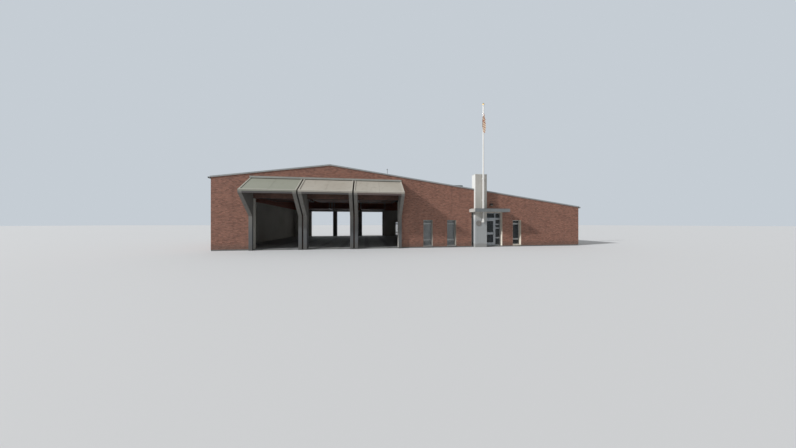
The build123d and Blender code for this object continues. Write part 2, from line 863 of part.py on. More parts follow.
with BuildPart() as entry_door_hinges:
    for z in hinge_heights:
        with BuildSketch(Plane.XY.offset(z - knuckle / 2 + hinge_play)):
            with Locations((hinge_x, hinge_y)):
                Circle(hinge_radius)
            opening(hinge_x + leaf_gap / 2, hinge_x + hinge_plate_width,
                    leaf_front_y - hinge_plate_thickness, leaf_front_y, mode=Mode.ADD)
            with Locations((hinge_x, hinge_y)):
                Circle(hinge_pin_radius + hinge_pin_clearance, mode=Mode.SUBTRACT)
        extrude(amount=knuckle - 2 * hinge_play)
entry_door_hinges.part.label = "entry_door_hinges"
export_step(entry_door_hinges.part, "parts/entry_door_hinges.step")

# Flat canopy over the entrance, notched round the pylon and bored for the flagpole
pole_y = pylon_front - pole_standoff


def pole_radius(z):
    """Radius of the tapered pole at a height."""
    share = (z - pole_foot) / (pole_top - pole_foot)
    return pole_foot_radius + share * (pole_top_radius - pole_foot_radius)


with BuildPart() as entry_canopy:
    canopy_front = -half_depth - canopy_projection
    with BuildSketch(Plane.XY.offset(entry_head)):
        opening(canopy_left, canopy_right, canopy_front, -half_depth, mode=Mode.ADD)
    extrude(amount=canopy_thickness)
    with BuildSketch(Plane.XY.offset(entry_head)):
        opening(canopy_left + canopy_fascia, canopy_right - canopy_fascia,
                canopy_front + canopy_fascia, -half_depth, mode=Mode.ADD)
    extrude(amount=canopy_recess, mode=Mode.SUBTRACT)
    with BuildSketch(Plane.XY.offset(entry_head)):
        opening(pylon_left, pylon_right, pylon_front, -half_depth, mode=Mode.ADD)
        with Locations((pole_x, pole_y)):
            Circle(pole_radius(entry_head) + pole_hole_clearance)
    extrude(amount=canopy_thickness, mode=Mode.SUBTRACT)
entry_canopy.part.label = "entry_canopy"
export_step(entry_canopy.part, "parts/entry_canopy.step")

# Flagpole: a tapered pole with a ball on top, held to the pylon by three brackets
with BuildPart() as flagpole:
    ball_foot = -acos(pole_top_radius / ball_radius)
    ball_step = (radians(ball_cap_latitude) - ball_foot) / ball_bands
    latitudes = [ball_foot + ball_step * number for number in range(ball_bands + 1)]
    sections = [(pole_foot, pole_foot_radius)]
    sections += [(pole_top + ball_radius * sin(latitude), ball_radius * cos(latitude))
                 for latitude in latitudes]
    for z, radius in sections:
        with BuildSketch(Plane.XY.offset(z)):
            with Locations((pole_x, pole_y)):
                RegularPolygon(radius, pole_sides)
    loft(ruled=True)
flagpole.part.label = "flagpole"
export_step(flagpole.part, "parts/flagpole.step")

with BuildPart() as flagpole_brackets:
    for z in (pole_foot, middle_bracket_height, upper_bracket_height):
        with BuildSketch(Plane.XY.offset(z)):
            with Locations((pole_x, pole_y)):
                Circle(pole_radius(z) + bracket_band)
            opening(pole_x - bracket_arm_width / 2, pole_x + bracket_arm_width / 2,
                    pole_y, pylon_front, mode=Mode.ADD)
            opening(pole_x - bracket_plate_width / 2, pole_x + bracket_plate_width / 2,
                    pylon_front - bracket_plate_thickness, pylon_front, mode=Mode.ADD)
            with Locations((pole_x, pole_y)):
                Circle(pole_radius(z), mode=Mode.SUBTRACT)
        extrude(amount=bracket_height)
    with BuildSketch(Plane.XY.offset(pole_foot)):
        with Locations((pole_x, pole_y)):
            Circle(pole_foot_radius + bracket_band)
    extrude(amount=-bracket_band)
flagpole_brackets.part.label = "flagpole_brackets"
export_step(flagpole_brackets.part, "parts/flagpole_brackets.step")

# Flag hanging in folds against the front of the pole, held by two clips
flag_top = pole_top - flag_below_top
flag_foot = flag_top - flag_drop
clip_reach = pole_radius(flag_foot) + flag_gap

with BuildPart() as flag:
    full_z = flag_foot + flag_full_level * flag_drop
    with BuildSketch(Plane.XZ.offset(clip_reach - pole_y)):
        with BuildLine():
            Polyline((pole_x - flag_top_width / 2, flag_top), (pole_x + flag_top_width / 2, flag_top),
                     (pole_x + flag_full_width / 2, full_z), (pole_x + flag_foot_width / 2, flag_foot),
                     (pole_x - flag_foot_width / 2, flag_foot), (pole_x - flag_full_width / 2, full_z),
                     close=True)
        make_face()
    extrude(amount=flag_thickness)
flag.part.label = "flag"
export_step(flag.part, "parts/flag.step")

with BuildPart() as flag_clips:
    for z in (flag_top - clip_inset, flag_top - clip_inset - clip_spacing):
        with BuildSketch(Plane.XY.offset(z)):
            with Locations((pole_x, pole_y)):
                Circle(clip_reach)
                Circle(pole_radius(z), mode=Mode.SUBTRACT)
        extrude(amount=clip_height)
flag_clips.part.label = "flag_clips"
export_step(flag_clips.part, "parts/flag_clips.step")

# Rooftop unit and vent, each with its foot cut to the roof slope
with BuildPart() as roof_unit:
    unit_left = roof_unit_x - roof_unit_width / 2
    unit_right = roof_unit_x + roof_unit_width / 2
    body_top = roof_unit_top - roof_unit_lid
    with BuildSketch(front_plane.offset(-roof_unit_setback)):
        with BuildLine():
            Polyline((unit_left, roof_top(unit_left)), (unit_right, roof_top(unit_right)),
                     (unit_right, body_top), (unit_left, body_top), close=True)
        make_face()
    extrude(amount=-roof_unit_depth)
    with BuildSketch(front_plane.offset(roof_unit_lid_lap - roof_unit_setback)):
        opening(unit_left - roof_unit_lid_lap, unit_right + roof_unit_lid_lap,
                body_top, roof_unit_top, mode=Mode.ADD)
    extrude(amount=-(roof_unit_depth + 2 * roof_unit_lid_lap))
roof_unit.part.label = "roof_unit"
export_step(roof_unit.part, "parts/roof_unit.step")

with BuildPart() as roof_vent:
    boot_left = vent_x - vent_boot / 2
    boot_right = vent_x + vent_boot / 2
    boot_top = roof_top(boot_left) + vent_boot_height
    vent_y = -half_depth + vent_setback
    with BuildSketch(Plane.XZ.offset(vent_boot / 2 - vent_y)):
        with BuildLine():
            Polyline((boot_left, roof_top(boot_left)), (boot_right, roof_top(boot_right)),
                     (boot_right, boot_top), (boot_left, boot_top), close=True)
        make_face()
    extrude(amount=-vent_boot)
    with BuildSketch(Plane.XY.offset(boot_top)):
        with Locations((vent_x, vent_y)):
            Circle(vent_radius)
    extrude(amount=vent_top - vent_cap_height - boot_top)
    with BuildSketch(Plane.XY.offset(vent_top - vent_cap_height)):
        with Locations((vent_x, vent_y)):
            Circle(vent_cap_radius)
    extrude(amount=vent_cap_height)
roof_vent.part.label = "roof_vent"
export_step(roof_vent.part, "parts/roof_vent.step")

# Wall light above the canopy, with a sloped face
with BuildPart() as wall_light:
    with BuildSketch(Plane.YZ.offset(light_x - light_width / 2)):
        with BuildLine():
            Polyline((-half_depth, light_height), (-half_depth, light_height + light_face),
                     (-half_depth - light_depth, light_height + light_face),
                     (-half_depth - light_depth, light_height + light_face / 2), close=True)
        make_face()
    extrude(amount=light_width)
wall_light.part.label = "wall_light"
export_step(wall_light.part, "parts/wall_light.step")
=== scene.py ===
# %% [markdown]
# A brick fire station, dressed around its frame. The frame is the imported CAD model: every solid
# piece of the building at its real size, in metres, with X along the front, Y from front to rear
# and Z up. This notebook gives each of those pieces a finish, and adds what is too fine for the
# frame: bricks, roof seams, glazing beads, blind slats, louvres, screws and the flag's cloth.
# Nothing in the frame is moved. Every new piece sits on it, by corners read from it.

# %% Load the frame
from functools import partialmethod, reduce

import bmesh
import bpy
import numpy as np
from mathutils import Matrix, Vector


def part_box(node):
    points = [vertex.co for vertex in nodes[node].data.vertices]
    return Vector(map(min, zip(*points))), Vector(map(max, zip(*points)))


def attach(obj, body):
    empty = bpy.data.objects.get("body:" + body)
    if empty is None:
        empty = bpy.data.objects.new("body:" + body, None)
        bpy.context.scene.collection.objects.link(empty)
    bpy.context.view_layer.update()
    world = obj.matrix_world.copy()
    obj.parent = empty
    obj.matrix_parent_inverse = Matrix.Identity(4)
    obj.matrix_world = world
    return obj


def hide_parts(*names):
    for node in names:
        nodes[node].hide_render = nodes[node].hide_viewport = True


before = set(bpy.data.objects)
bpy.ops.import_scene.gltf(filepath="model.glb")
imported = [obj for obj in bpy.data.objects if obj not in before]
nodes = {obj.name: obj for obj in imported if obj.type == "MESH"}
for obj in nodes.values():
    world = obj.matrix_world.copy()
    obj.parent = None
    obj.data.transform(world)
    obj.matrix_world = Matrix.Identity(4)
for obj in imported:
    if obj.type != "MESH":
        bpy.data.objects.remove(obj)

scene = bpy.context.scene
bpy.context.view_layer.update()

# %% [markdown]
# The camera comes first, because every later choice is judged through it. It stands at eye height
# in front of the vehicle bays, level, and turned a little to the right. Its focal length is 224
# pixels on a picture 796 pixels wide, which makes a very wide lens. A level camera keeps walls and
# pole upright, so no shift is needed.

# %% Camera
picture_width = 796
focal_length = 224
eye = Vector((-4.43, -29.49, 2.137))
heading = Vector((1.0, 7.0, 0.0))

lens = bpy.data.cameras.new("eye_level")
lens.sensor_width = 36
lens.lens = lens.sensor_width * focal_length / picture_width
camera = bpy.data.objects.new("eye_level", lens)
camera.location = eye
camera.rotation_euler = heading.to_track_quat("-Z", "Y").to_euler()
scene.collection.objects.link(camera)
scene.camera = camera
print(f"lens of {lens.lens:.2f} mm on a {lens.sensor_width:.0f} mm sensor")

# %% [markdown]
# The sky and the materials are built from nodes, and need the same few steps again and again. So
# an output of a node becomes a Value that can stand in a formula: x - 2 adds a Math node. Colours
# are written as screen colours, three numbers from 0 to 255, because that is how a photograph or a
# colour chart gives them, and turned into Blender's linear ones.

# %% Node helpers
class Value:
    """An output of a node. In a formula, each sign adds a Math node."""

    __array_ufunc__ = None  # numpy's numbers leave the sign to this class

    def __init__(self, socket):
        self.socket, self.tree = socket, socket.id_data

    def before(self, operation, other=0.0):
        """The sign with this value first, as in x - 2."""
        return calc(operation, self, other)

    def after(self, operation, other):
        """The sign with this value second, as in 2 - x."""
        return calc(operation, other, self)

    __add__ = partialmethod(before, "ADD")
    __sub__ = partialmethod(before, "SUBTRACT")
    __rsub__ = partialmethod(after, "SUBTRACT")
    __mul__ = partialmethod(before, "MULTIPLY")
    __truediv__ = partialmethod(before, "DIVIDE")
    __rtruediv__ = partialmethod(after, "DIVIDE")
    __mod__ = partialmethod(before, "MODULO")
    __lt__ = partialmethod(before, "LESS_THAN")
    __gt__ = partialmethod(before, "GREATER_THAN")
    __abs__ = partialmethod(before, "ABSOLUTE")


class Outputs:
    """The outputs of a node by name or number, each as a Value."""

    def __init__(self, node):
        self.node = node

    def __getitem__(self, key):
        return Value(self.node.outputs[key])


def linear(red, green, blue):
    """Linear colour of a screen colour, with full alpha."""
    screen = np.array([red, green, blue]) / 255
    channels = np.where(screen <= 0.04045, screen / 12.92, ((screen + 0.055) / 1.055) ** 2.4)
    return (*channels.tolist(), 1.0)


def feed(socket, value):
    """Links a socket to a Value, or sets it to a number, a vector or a screen colour."""
    if isinstance(value, Value):
        value.tree.links.new(value.socket, socket)
    elif socket.type == "RGBA" and len(value) == 3:
        socket.default_value = linear(*value)
    else:
        socket.default_value = value


def add_node(tree, kind, inputs=None, **settings):
    """Outputs of a new shader node, whose inputs are given by name or number."""
    node = tree.nodes.new("ShaderNode" + kind)
    for name, value in settings.items():
        setattr(node, name, value)
    for name, value in (inputs or {}).items():
        feed(node.inputs[name], value)
    return Outputs(node)


def calc(operation, first, second=0.0):
    """Result of a Math node."""
    tree = first.tree if isinstance(first, Value) else second.tree
    return add_node(tree, "Math", {0: first, 1: second}, operation=operation)[0]


def highest(*values):
    """The highest of several values."""
    return reduce(lambda first, second: calc("MAXIMUM", first, second), values)


def lowest(*values):
    """The lowest of several values."""
    return reduce(lambda first, second: calc("MINIMUM", first, second), values)


def rise(value, low, high):
    """0 below low, 1 above high, and smooth between."""
    limits = {"Value": value, "From Min": low, "From Max": high}
    return add_node(value.tree, "MapRange", limits, interpolation_type="SMOOTHSTEP")[0]


def spread(value, low, high):
    """A value from 0 to 1 laid out between low and high."""
    return value * (high - low) + low


def tint(share, first, second):
    """Colour between first, at share 0, and second, at share 1."""
    return add_node(share.tree, "Mix", {0: share, 6: first, 7: second}, data_type="RGBA")[2]


def place_of(tree):
    """Object coordinates: the vector, and its x, y and z."""
    vector = add_node(tree, "TexCoord")["Object"]
    return (vector, *add_node(tree, "SeparateXYZ", {0: vector}))


def stretched(vector, scale):
    """A vector multiplied by a scale for each axis."""
    return add_node(vector.tree, "VectorMath", {0: vector, 1: scale}, operation="MULTIPLY")[0]


def cloud(vector, scale, detail=3.0):
    """Noise from 0 to 1, with scale lumps to the metre."""
    inputs = {"Vector": vector, "Scale": scale, "Detail": detail}
    return add_node(vector.tree, "TexNoise", inputs)[0]


def title(name):
    """Name of a socket from that of an argument: patch_size stands for Patch Size."""
    return name.replace("_", " ").title()


def new_group(name, inputs, outputs):
    """An empty shader group with number sockets: its tree, its knobs and its results."""
    group = bpy.data.node_groups.new(name, "ShaderNodeTree")
    for knob, value in inputs.items():
        socket = group.interface.new_socket(knob, in_out="INPUT", socket_type="NodeSocketFloat")
        socket.default_value = value
    for result in outputs:
        group.interface.new_socket(result, in_out="OUTPUT", socket_type="NodeSocketFloat")
    knobs = Outputs(group.nodes.new("NodeGroupInput"))
    return group, knobs, group.nodes.new("NodeGroupOutput").inputs


def use_group(tree, group, **values):
    """Outputs of a shader group that is placed in a tree."""
    inputs = {title(name): value for name, value in values.items()}
    return add_node(tree, "Group", inputs, node_tree=group)


class Finish:
    """A material in the making: its tree, its shader's sockets and its colour so far.

    Finish.made lists the materials of this notebook, because the frame has some of the same name.
    """

    made = {}

    def __init__(self, name, base, roughness, metallic=0.0):
        material = bpy.data.materials.new(name)
        material.use_nodes = True
        Finish.made[name] = material
        self.tree = material.node_tree
        self.sockets = self.tree.nodes["Principled BSDF"].inputs
        self.paint = base
        self.feed(base_color=base, roughness=roughness, metallic=metallic)

    def feed(self, **values):
        """Feeds the shader's sockets by name."""
        for name, value in values.items():
            feed(self.sockets[title(name)], value)

    def repaint(self, share, other):
        """Lays another colour over the one so far, where share is 1."""
        self.paint = tint(share, self.paint, other)
        self.feed(base_color=self.paint)

    def bump(self, height, strength, distance):
        """Feeds a height to the shader's normal."""
        inputs = {"Height": height, "Strength": strength, "Distance": distance}
        self.feed(normal=add_node(self.tree, "Bump", inputs)[0])


print("helpers ready")

# %% [markdown]
# Light is plain and soft: a white world for the fill and one broad lamp from the left, where the
# sun stands for this front. It grazes the wall, so the hoods, canopy and pylon throw long and
# gentle shadows to the right, and faces that look left are the brightest.
# Their levels add up so that a colour renders about as it is written. The world shows a pale grey
# to the camera, and to mirror and glass rays, while its light on the building stays white.

# %% World and lamp
backdrop_colour = (0.56, 0.61, 0.66, 1.0)
fill_strength = 0.55
lamp_strength = 3.9
lamp_softness = np.radians(3)
lamp_direction = Vector((3.6, 1.0, -1.95))

world = bpy.data.worlds.new("studio")
scene.world = world
world.use_nodes = True
sky = world.node_tree
sky.nodes.clear()
ray = add_node(sky, "LightPath")
seen = highest(ray["Is Camera Ray"], ray["Is Glossy Ray"], ray["Is Transmission Ray"])
fill = add_node(sky, "Background", {"Strength": fill_strength})[0]
backdrop = add_node(sky, "Background", {"Color": backdrop_colour})[0]
choice = add_node(sky, "MixShader", {0: seen, 1: fill, 2: backdrop})[0]
add_node(sky, "OutputWorld", {"Surface": choice})

lamp = bpy.data.lights.new("broad_lamp", "SUN")
lamp.energy = lamp_strength
lamp.angle = lamp_softness
lamp_object = bpy.data.objects.new("broad_lamp", lamp)
lamp_object.rotation_euler = lamp_direction.to_track_quat("-Z", "Y").to_euler()
scene.collection.objects.link(lamp_object)
print("fill", fill_strength, "and lamp", lamp_strength)

# %% [markdown]
# Three effects run through the whole building, so each is a shader group that is built once.
# Weather has broad patches, where paint has faded unevenly, narrow streaks, where rain runs down,
# and a fine grain. Ground dirt is what splashes up the foot of a wall, ragged at its upper edge.
# Lines are grooves at an even spacing across X and Y, for joints and folded ribs. All of them
# read Object coordinates, so they stay put on every piece and in every view.

# %% Shared effects
weather, knobs, results = new_group(
    "weather", {"Patch Size": 1.6, "Streak Width": 0.14}, ["Patches", "Streaks", "Grain"])
where = place_of(weather)[0]
feed(results["Patches"], rise(cloud(where, 1.0 / knobs["Patch Size"], 4.0), 0.3, 0.7))
runs = cloud(stretched(where, (1.0, 1.0, 0.06)), 1.0 / knobs["Streak Width"])
feed(results["Streaks"], rise(runs, 0.48, 0.78))
feed(results["Grain"], cloud(where, 90.0, 2.0))

ground_dirt, knobs, results = new_group("ground_dirt", {"Reach": 0.5}, ["Dirt"])
where, _, _, z = place_of(ground_dirt)
above = z - cloud(where, 3.0, 4.0) * knobs["Reach"]
feed(results["Dirt"], 1.0 - rise(above, 0.0, knobs["Reach"] * 0.6))

lines, knobs, results = new_group(
    "lines", {"Spacing": 1.0, "Width": 0.01}, ["Across X", "Across Y"])
_, x, y, _ = place_of(lines)
for result, reading in (("Across X", x), ("Across Y", y)):
    step = calc("FRACT", reading / knobs["Spacing"])
    feed(results[result], step < knobs["Width"] / knobs["Spacing"])
print("shared effects:", ", ".join(group.name for group in (weather, ground_dirt, lines)))

# %% [markdown]
# The corners of the frame's solids are the ruler for everything that follows. A node may hold
# several solids, such as nine window frames, so they are told apart by walking from point to point
# along the edges of a merged copy. Each solid then gives its lowest and highest corner.

# %% Read the solids of a node
weld_distance = 1e-5


def solids_of(node):
    """Lowest and highest corners of each solid in a node, as an array (solids, 2, 3)."""
    merged = bmesh.new()
    merged.from_mesh(nodes[node].data)
    bmesh.ops.remove_doubles(merged, verts=merged.verts, dist=weld_distance)
    unseen = set(merged.verts)
    corners = []
    while unseen:
        reached = [unseen.pop()]
        for vertex in reached:
            beside = {edge.other_vert(vertex) for edge in vertex.link_edges} & unseen
            unseen -= beside
            reached.extend(beside)
        spots = np.array([vertex.co[:] for vertex in reached])
        corners.append((spots.min(0), spots.max(0)))
    merged.free()
    corners.sort(key=lambda pair: tuple(np.round(pair[0], 2)))
    return np.array(corners)


frames_of_windows = solids_of("window_frames")
hoods = solids_of("hood_panels")
fins = solids_of("bay_fins")
bays = [(left_fin[1, 0], right_fin[0, 0]) for left_fin, right_fin in zip(fins[::2], fins[1::2])]
slab_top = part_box("floor_slab")[1].z
bay_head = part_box("front_wall_gable")[0].z
front_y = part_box("front_wall_left")[0].y
rear_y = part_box("rear_wall_left")[1].y
right_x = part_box("right_wall")[1].x
pylon_low, pylon_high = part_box("entry_pylon")
canopy_low, canopy_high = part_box("entry_canopy")
print(len(frames_of_windows), "windows,", len(hoods), "hoods,", len(fins), "fins")

# %% [markdown]
# Most small parts of a building are straight: bricks, ribs, slats, beads. They are all made as
# blocks, a near face and a far face with four sides between, and hundreds of them are worked out
# in one array. A surface is written as points and quads, and the faces run anticlockwise as seen
# from outside, so that every normal points out. Round parts are profiles turned about an axis.

# %% Shapes from arrays
def places(x, y, z):
    """Points from numbers or arrays of x, y and z."""
    return np.stack(np.broadcast_arrays(x, y, z), axis=-1)


def repeated(faces, count, step):
    """The same faces for count shapes, whose points follow each other by step."""
    return (step * np.arange(count)[:, None, None] + faces).reshape(-1, 4)


def blocks(near, far, back=True):
    """Points and quads of blocks, from the corners (blocks, 4, 3) of near and far faces.

    The near corners run anticlockwise as seen from outside. Side i joins corners i and i + 1 of
    both faces. Without back, the far face is left open, where it lies on a wall.
    """
    points = np.concatenate([near, far], axis=1).reshape(-1, 3)
    sides = [(i, i + 4, (i + 1) % 4 + 4, (i + 1) % 4) for i in range(4)]
    faces = np.array([(0, 1, 2, 3), *sides] + [(7, 6, 5, 4)] * back)
    return points, repeated(faces, len(near), 8)


def boxes(low, high):
    """Upright boxes between arrays of lowest and highest corners."""
    low, high = np.atleast_2d(low), np.atleast_2d(high)
    x = np.stack([low[:, 0], high[:, 0], high[:, 0], low[:, 0]], axis=1)
    z = np.stack([low[:, 2], low[:, 2], high[:, 2], high[:, 2]], axis=1)
    return blocks(places(x, low[:, 1:2], z), places(x, high[:, 1:2], z))


def bars(starts, ends, side, up):
    """Straight bars: each start and end is the middle of the bar's foot, side its half width."""
    starts, ends = np.atleast_2d(starts), np.atleast_2d(ends)
    side, up = np.broadcast_to(side, starts.shape), np.broadcast_to(up, starts.shape)
    facing = -np.sign(np.sum(np.cross(side, up) * (ends - starts), axis=1, keepdims=True))
    side = side * facing
    near, far = (np.stack([foot - side, foot + side, foot + side + up, foot - side + up], axis=1)
                 for foot in (starts, ends))
    return blocks(near, far)


def circle(axis, count):
    """Points of a circle of radius 1 about an axis."""
    axis = Vector(axis).normalized()
    first = axis.orthogonal().normalized()
    angle = (2 * np.pi * np.arange(count) / count)[:, None]
    return np.cos(angle) * np.array(first) + np.sin(angle) * np.array(axis.cross(first))


def grid_quads(rows, columns, around=False):
    """Quads of a grid of points. With around, the last column joins the first."""
    row, column = np.meshgrid(np.arange(rows - 1), np.arange(columns - (not around)), indexing="ij")
    start, after = row * columns + column, row * columns + (column + 1) % columns
    return np.stack([start, after, after + columns, start + columns], axis=2).reshape(-1, 4)


def turned(profile, centre, axis=(0, 0, 1), count=32):
    """Surface of a profile of (radius, height) pairs turned about an axis through a centre."""
    radius, height = np.array(profile).T[:, :, None, None]
    points = np.array(centre) + height * np.array(axis) + radius * circle(axis, count)
    return points.reshape(-1, 3), grid_quads(len(profile), count, around=True)


def joined(shapes):
    """Several surfaces as one."""
    starts = np.cumsum([0] + [len(points) for points, _ in shapes[:-1]])
    quads = [quads + start for (_, quads), start in zip(shapes, starts)]
    return np.concatenate([points for points, _ in shapes]), np.concatenate(quads)


def new_object(name, shape, material):
    """Puts a surface into the scene, with the finish of that name."""
    mesh = bpy.data.meshes.new(name)
    mesh.from_pydata(shape[0], [], shape[1])
    mesh.materials.append(Finish.made[material])
    made = bpy.data.objects.new(name, mesh)
    scene.collection.objects.link(made)
    return made


def add_piece(name, shape, material, body="building", merge=False, smooth=False):
    """Puts a surface into the scene as a piece that rides on a body."""
    piece = new_object(name, shape, material)
    mesh = piece.data
    if merge:
        solid = bmesh.new()
        solid.from_mesh(mesh)
        bmesh.ops.remove_doubles(solid, verts=solid.verts, dist=weld_distance)
        bmesh.ops.recalc_face_normals(solid, faces=solid.faces)
        solid.to_mesh(mesh)
        solid.free()
    mesh.polygons.foreach_set("use_smooth", np.full(len(mesh.polygons), smooth))
    if smooth:
        mesh.set_sharp_from_angle(angle=np.radians(40))
    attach(piece, body)
    print(f"{name}: {len(mesh.polygons)} faces")
    return piece


print("shapes ready")

# %% [markdown]
# The floor under the building is only a stage. A plain pale sheet, wide enough to reach the
# horizon, keeps the building's shadow, which shows that it stands on something.

# %% Floor
floor_reach = 400.0
Finish("pale_floor", (0.60, 0.61, 0.62, 1.0), 0.9)
floor_corners = floor_reach * np.array([(-1, -1, 0), (1, -1, 0), (1, 1, 0), (-1, 1, 0)])
floor = new_object("floor", (floor_corners, [(0, 1, 2, 3)]), "pale_floor")
print("floor laid")

# %% [markdown]
# The walls are brick outside and painted block inside. In the frame each wall is one solid, so its
# material tells the two apart by place: whatever lies on the outer skin is mortar, which shows
# between the bricks laid over it below, and the rest is pale paint over blocks, whose joints show
# through as shallow grooves. Above the doors the inside is left as bare brick, which the bays show
# as a dark red band over the far openings. Under the hoods, brick and mortar are darkened by
# painted shade, which stands in for the shadow that the hoods throw on the front. The windows
# beside the bays get painted shade on their sills and linings and painted light on their panes.
# Both masks are outputs of one more group. The undersides of the bay heads get a dark band of
# painted shade.

# %% Wall finish
course = 1 / 15
module = 0.2
paint_top = 4.5
skin = 0.002

hoods_low, hoods_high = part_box("hood_panels")
painted_light_and_shade, _, results = new_group("painted_light_and_shade", {}, ["Soot", "Beside Bays"])
where, x, y, z = place_of(painted_light_and_shade)
past_ends = highest(hoods_low.x - x, x - hoods_high.x)
past_wall = highest(y - (front_y + skin), z - hoods_high.z)
under_hoods = highest(past_ends, past_wall) < 0.0
# Hood Shade: painted shade on the front under the hoods, in uneven lumps.
feed(results["Soot"], under_hoods * spread(cloud(where, 1.2), 0.4, 0.9))
# Beside Bays: the front left of the pylon, where sills and linings get painted shade and panes
# painted light.
feed(results["Beside Bays"], highest(x - pylon_low.x, y) < 0.0)

wall = Finish("mortar_and_painted_block", (0.5, 0.5, 0.5, 1.0), 0.9)
_, x, y, z = place_of(wall.tree)
outside = highest(abs(x) - (right_x - skin), abs(y) - (rear_y - skin)) > 0.0
along_wall = add_node(wall.tree, "CombineXYZ", {0: x + y, 1: z})[0]
joints = add_node(wall.tree, "TexBrick", {
    "Vector": along_wall, "Scale": 1.0, "Brick Width": 0.4, "Row Height": 0.2,
    "Mortar Size": 0.006, "Mortar Smooth": 0.4})["Fac"]
bare_brick = add_node(wall.tree, "TexBrick", {
    "Vector": along_wall, "Scale": 1.0, "Brick Width": module, "Row Height": course,
    "Mortar Size": 0.005, "Color1": (160, 94, 76), "Color2": (134, 76, 62),
    "Mortar": (150, 138, 128)})["Color"]
effects = use_group(wall.tree, weather, patch_size=2.2)
inside = tint(effects["Patches"], (176, 174, 166), (190, 188, 181))
inside = tint(joints * 0.4, inside, (140, 138, 132))
inside = tint(z > paint_top, inside, bare_brick)
# A dark band on the undersides of the bay heads is painted shade.
bay_head_shade = abs(z - bay_head) < 0.003
inside = tint(bay_head_shade, inside, (62, 60, 58))
mortar = tint(effects["Grain"], (150, 138, 128), (172, 160, 149))
# Painted shade darkens the mortar under the hoods.
mortar = tint(use_group(wall.tree, painted_light_and_shade)["Soot"], mortar, (58, 50, 46))
wall.feed(base_color=tint(outside, inside, mortar))
wall.bump(effects["Grain"] * 0.3 - joints * (1.0 - outside), 0.5, 0.003)
print("walls: mortar outside, painted block inside")

# %% [markdown]
# Bricks differ from one to the next, because they come out of the kiln that way. Each brick gets a
# tone of its own when it is laid, kept on its faces as an attribute, and the material turns the
# tone into a colour between a dark and a bright clay. Streaks and ground dirt darken it where the
# weather does. The clay itself is rough and sandy.

# %% Brick finish
brick = Finish("fired_brick", (0.2, 0.08, 0.05, 1.0), 0.86)
tone = add_node(brick.tree, "Attribute", attribute_name="brick_tone")["Fac"]
effects = use_group(brick.tree, weather, patch_size=2.6, streak_width=0.5)
fleck = cloud(place_of(brick.tree)[0], 45.0)
brick.paint = tint(tone * 0.75 + fleck * 0.25, (98, 64, 53), (166, 118, 99))
brick.repaint(effects["Patches"] * 0.22, (130, 92, 80))
brick.repaint(effects["Streaks"] * 0.25, (84, 56, 50))
brick.repaint(use_group(brick.tree, ground_dirt, reach=0.55)["Dirt"] * 0.45, (88, 72, 63))
# Painted shade darkens the bricks under the hoods.
brick.repaint(use_group(brick.tree, painted_light_and_shade)["Soot"], (50, 40, 37))
brick.feed(roughness=spread(effects["Grain"], 0.78, 0.95))
brick.bump(effects["Grain"], 0.5, 0.002)
print("brick colours run from dark to bright clay")

# %% [markdown]
# The brickwork is laid in running bond: courses of 67 mm, bricks every 200 mm, each course shifted
# by half a brick. Bricks could be a texture, but at a corner or an opening a texture looks printed
# on. So each brick is a shallow block that stands 8 mm out from the mortar, worked out course by
# course: a row of places along the wall, cut where an opening, a fin or the pylon interrupts it,
# and cut along the roof line at the top. Over each opening stands a row of soldiers, bricks on end.

# %% Bond and roof line
joint = 0.01
brick_stand = 0.008
shortest_cut = 0.06
thinnest_cut = 0.005
soldier_height = 3 * course

cap_low, cap_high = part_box("ridge_cap")
ridge_x = (cap_low.x + cap_high.x) / 2
wall_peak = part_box("front_wall_gable")[1].z
roof_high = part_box("roof_left")[1].z
roof_fall = (wall_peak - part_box("right_wall")[1].z) / (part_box("right_wall")[0].x - ridge_x)


def wall_head(x):
    """Height of the roof's underside: the peak, less the fall for each metre from the ridge."""
    return wall_peak - roof_fall * np.abs(x - ridge_x)


def roof_top(x):
    """Height of the top of the roof."""
    return roof_high - roof_fall * np.abs(x - ridge_x)


def free_stretches(start, end, gaps):
    """What is left between start and end once the gaps are taken out, from left to right."""
    stretches = []
    for gap_start, gap_end in sorted(gaps):
        if gap_start > start:
            stretches.append((start, min(gap_start, end)))
        start = max(start, gap_end)
    if start < end:
        stretches.append((start, end))
    return stretches


def running_bond(start, end, top, gaps):
    """Left, right, bottom and top of each brick of a wall, as an array (bricks, 4).

    Course n lies at slab_top + n * course. Odd courses are shifted by half a module. A gap is
    (left, right, bottom, top), and it cuts each course whose middle lies in it. Where a cut brick
    would be shorter than shortest_cut, its neighbour takes its place.
    """
    laid = []
    for number in range(int((top - slab_top) / course) + 1):
        bottom = slab_top + number * course + joint / 2
        middle = bottom + (course - joint) / 2
        bond = np.arange(start - module / 2 * (number % 2), end, module)
        cuts = [(left, right) for left, right, low, high in gaps if low < middle < high]
        for first, last in free_stretches(start, end, cuts):
            if last - first < shortest_cut:
                continue
            inner = bond[(bond > first + shortest_cut) & (bond < last - shortest_cut)]
            edges = np.concatenate([[first], inner, [last]])
            level = np.full(len(edges) - 1, bottom)
            laid.append(np.stack([edges[:-1] + joint / 2, edges[1:] - joint / 2,
                                  level, level + course - joint], axis=1))
    return np.concatenate(laid)


def soldiers(start, end, bottom):
    """A row of bricks on end, evenly spaced between start and end."""
    count = round((end - start) / course)
    pitch = (end - start) / count
    left = start + joint / 2 + pitch * np.arange(count)
    bottom = np.full(count, bottom + joint / 2)
    return np.stack([left, left + pitch - joint, bottom, bottom + soldier_height - joint], axis=1)


print(f"roof falls {roof_fall * 1000:.1f} mm to the metre from {wall_peak:.2f} m")

# %% [markdown]
# A wall is described by two directions: the one that it runs along, and the one that it faces.
# Seen from outside, the first points to the right, so that the same code lays all four walls.
# Places along the wall are found by projecting the corners of the frame's solids on it.

# %% Lay the four walls
tones = np.random.default_rng(11)
tone_middle, tone_spread = 0.5, 0.22
burnt_share, burnt_tone = 0.05, 0.02
deepest_window = 0.5


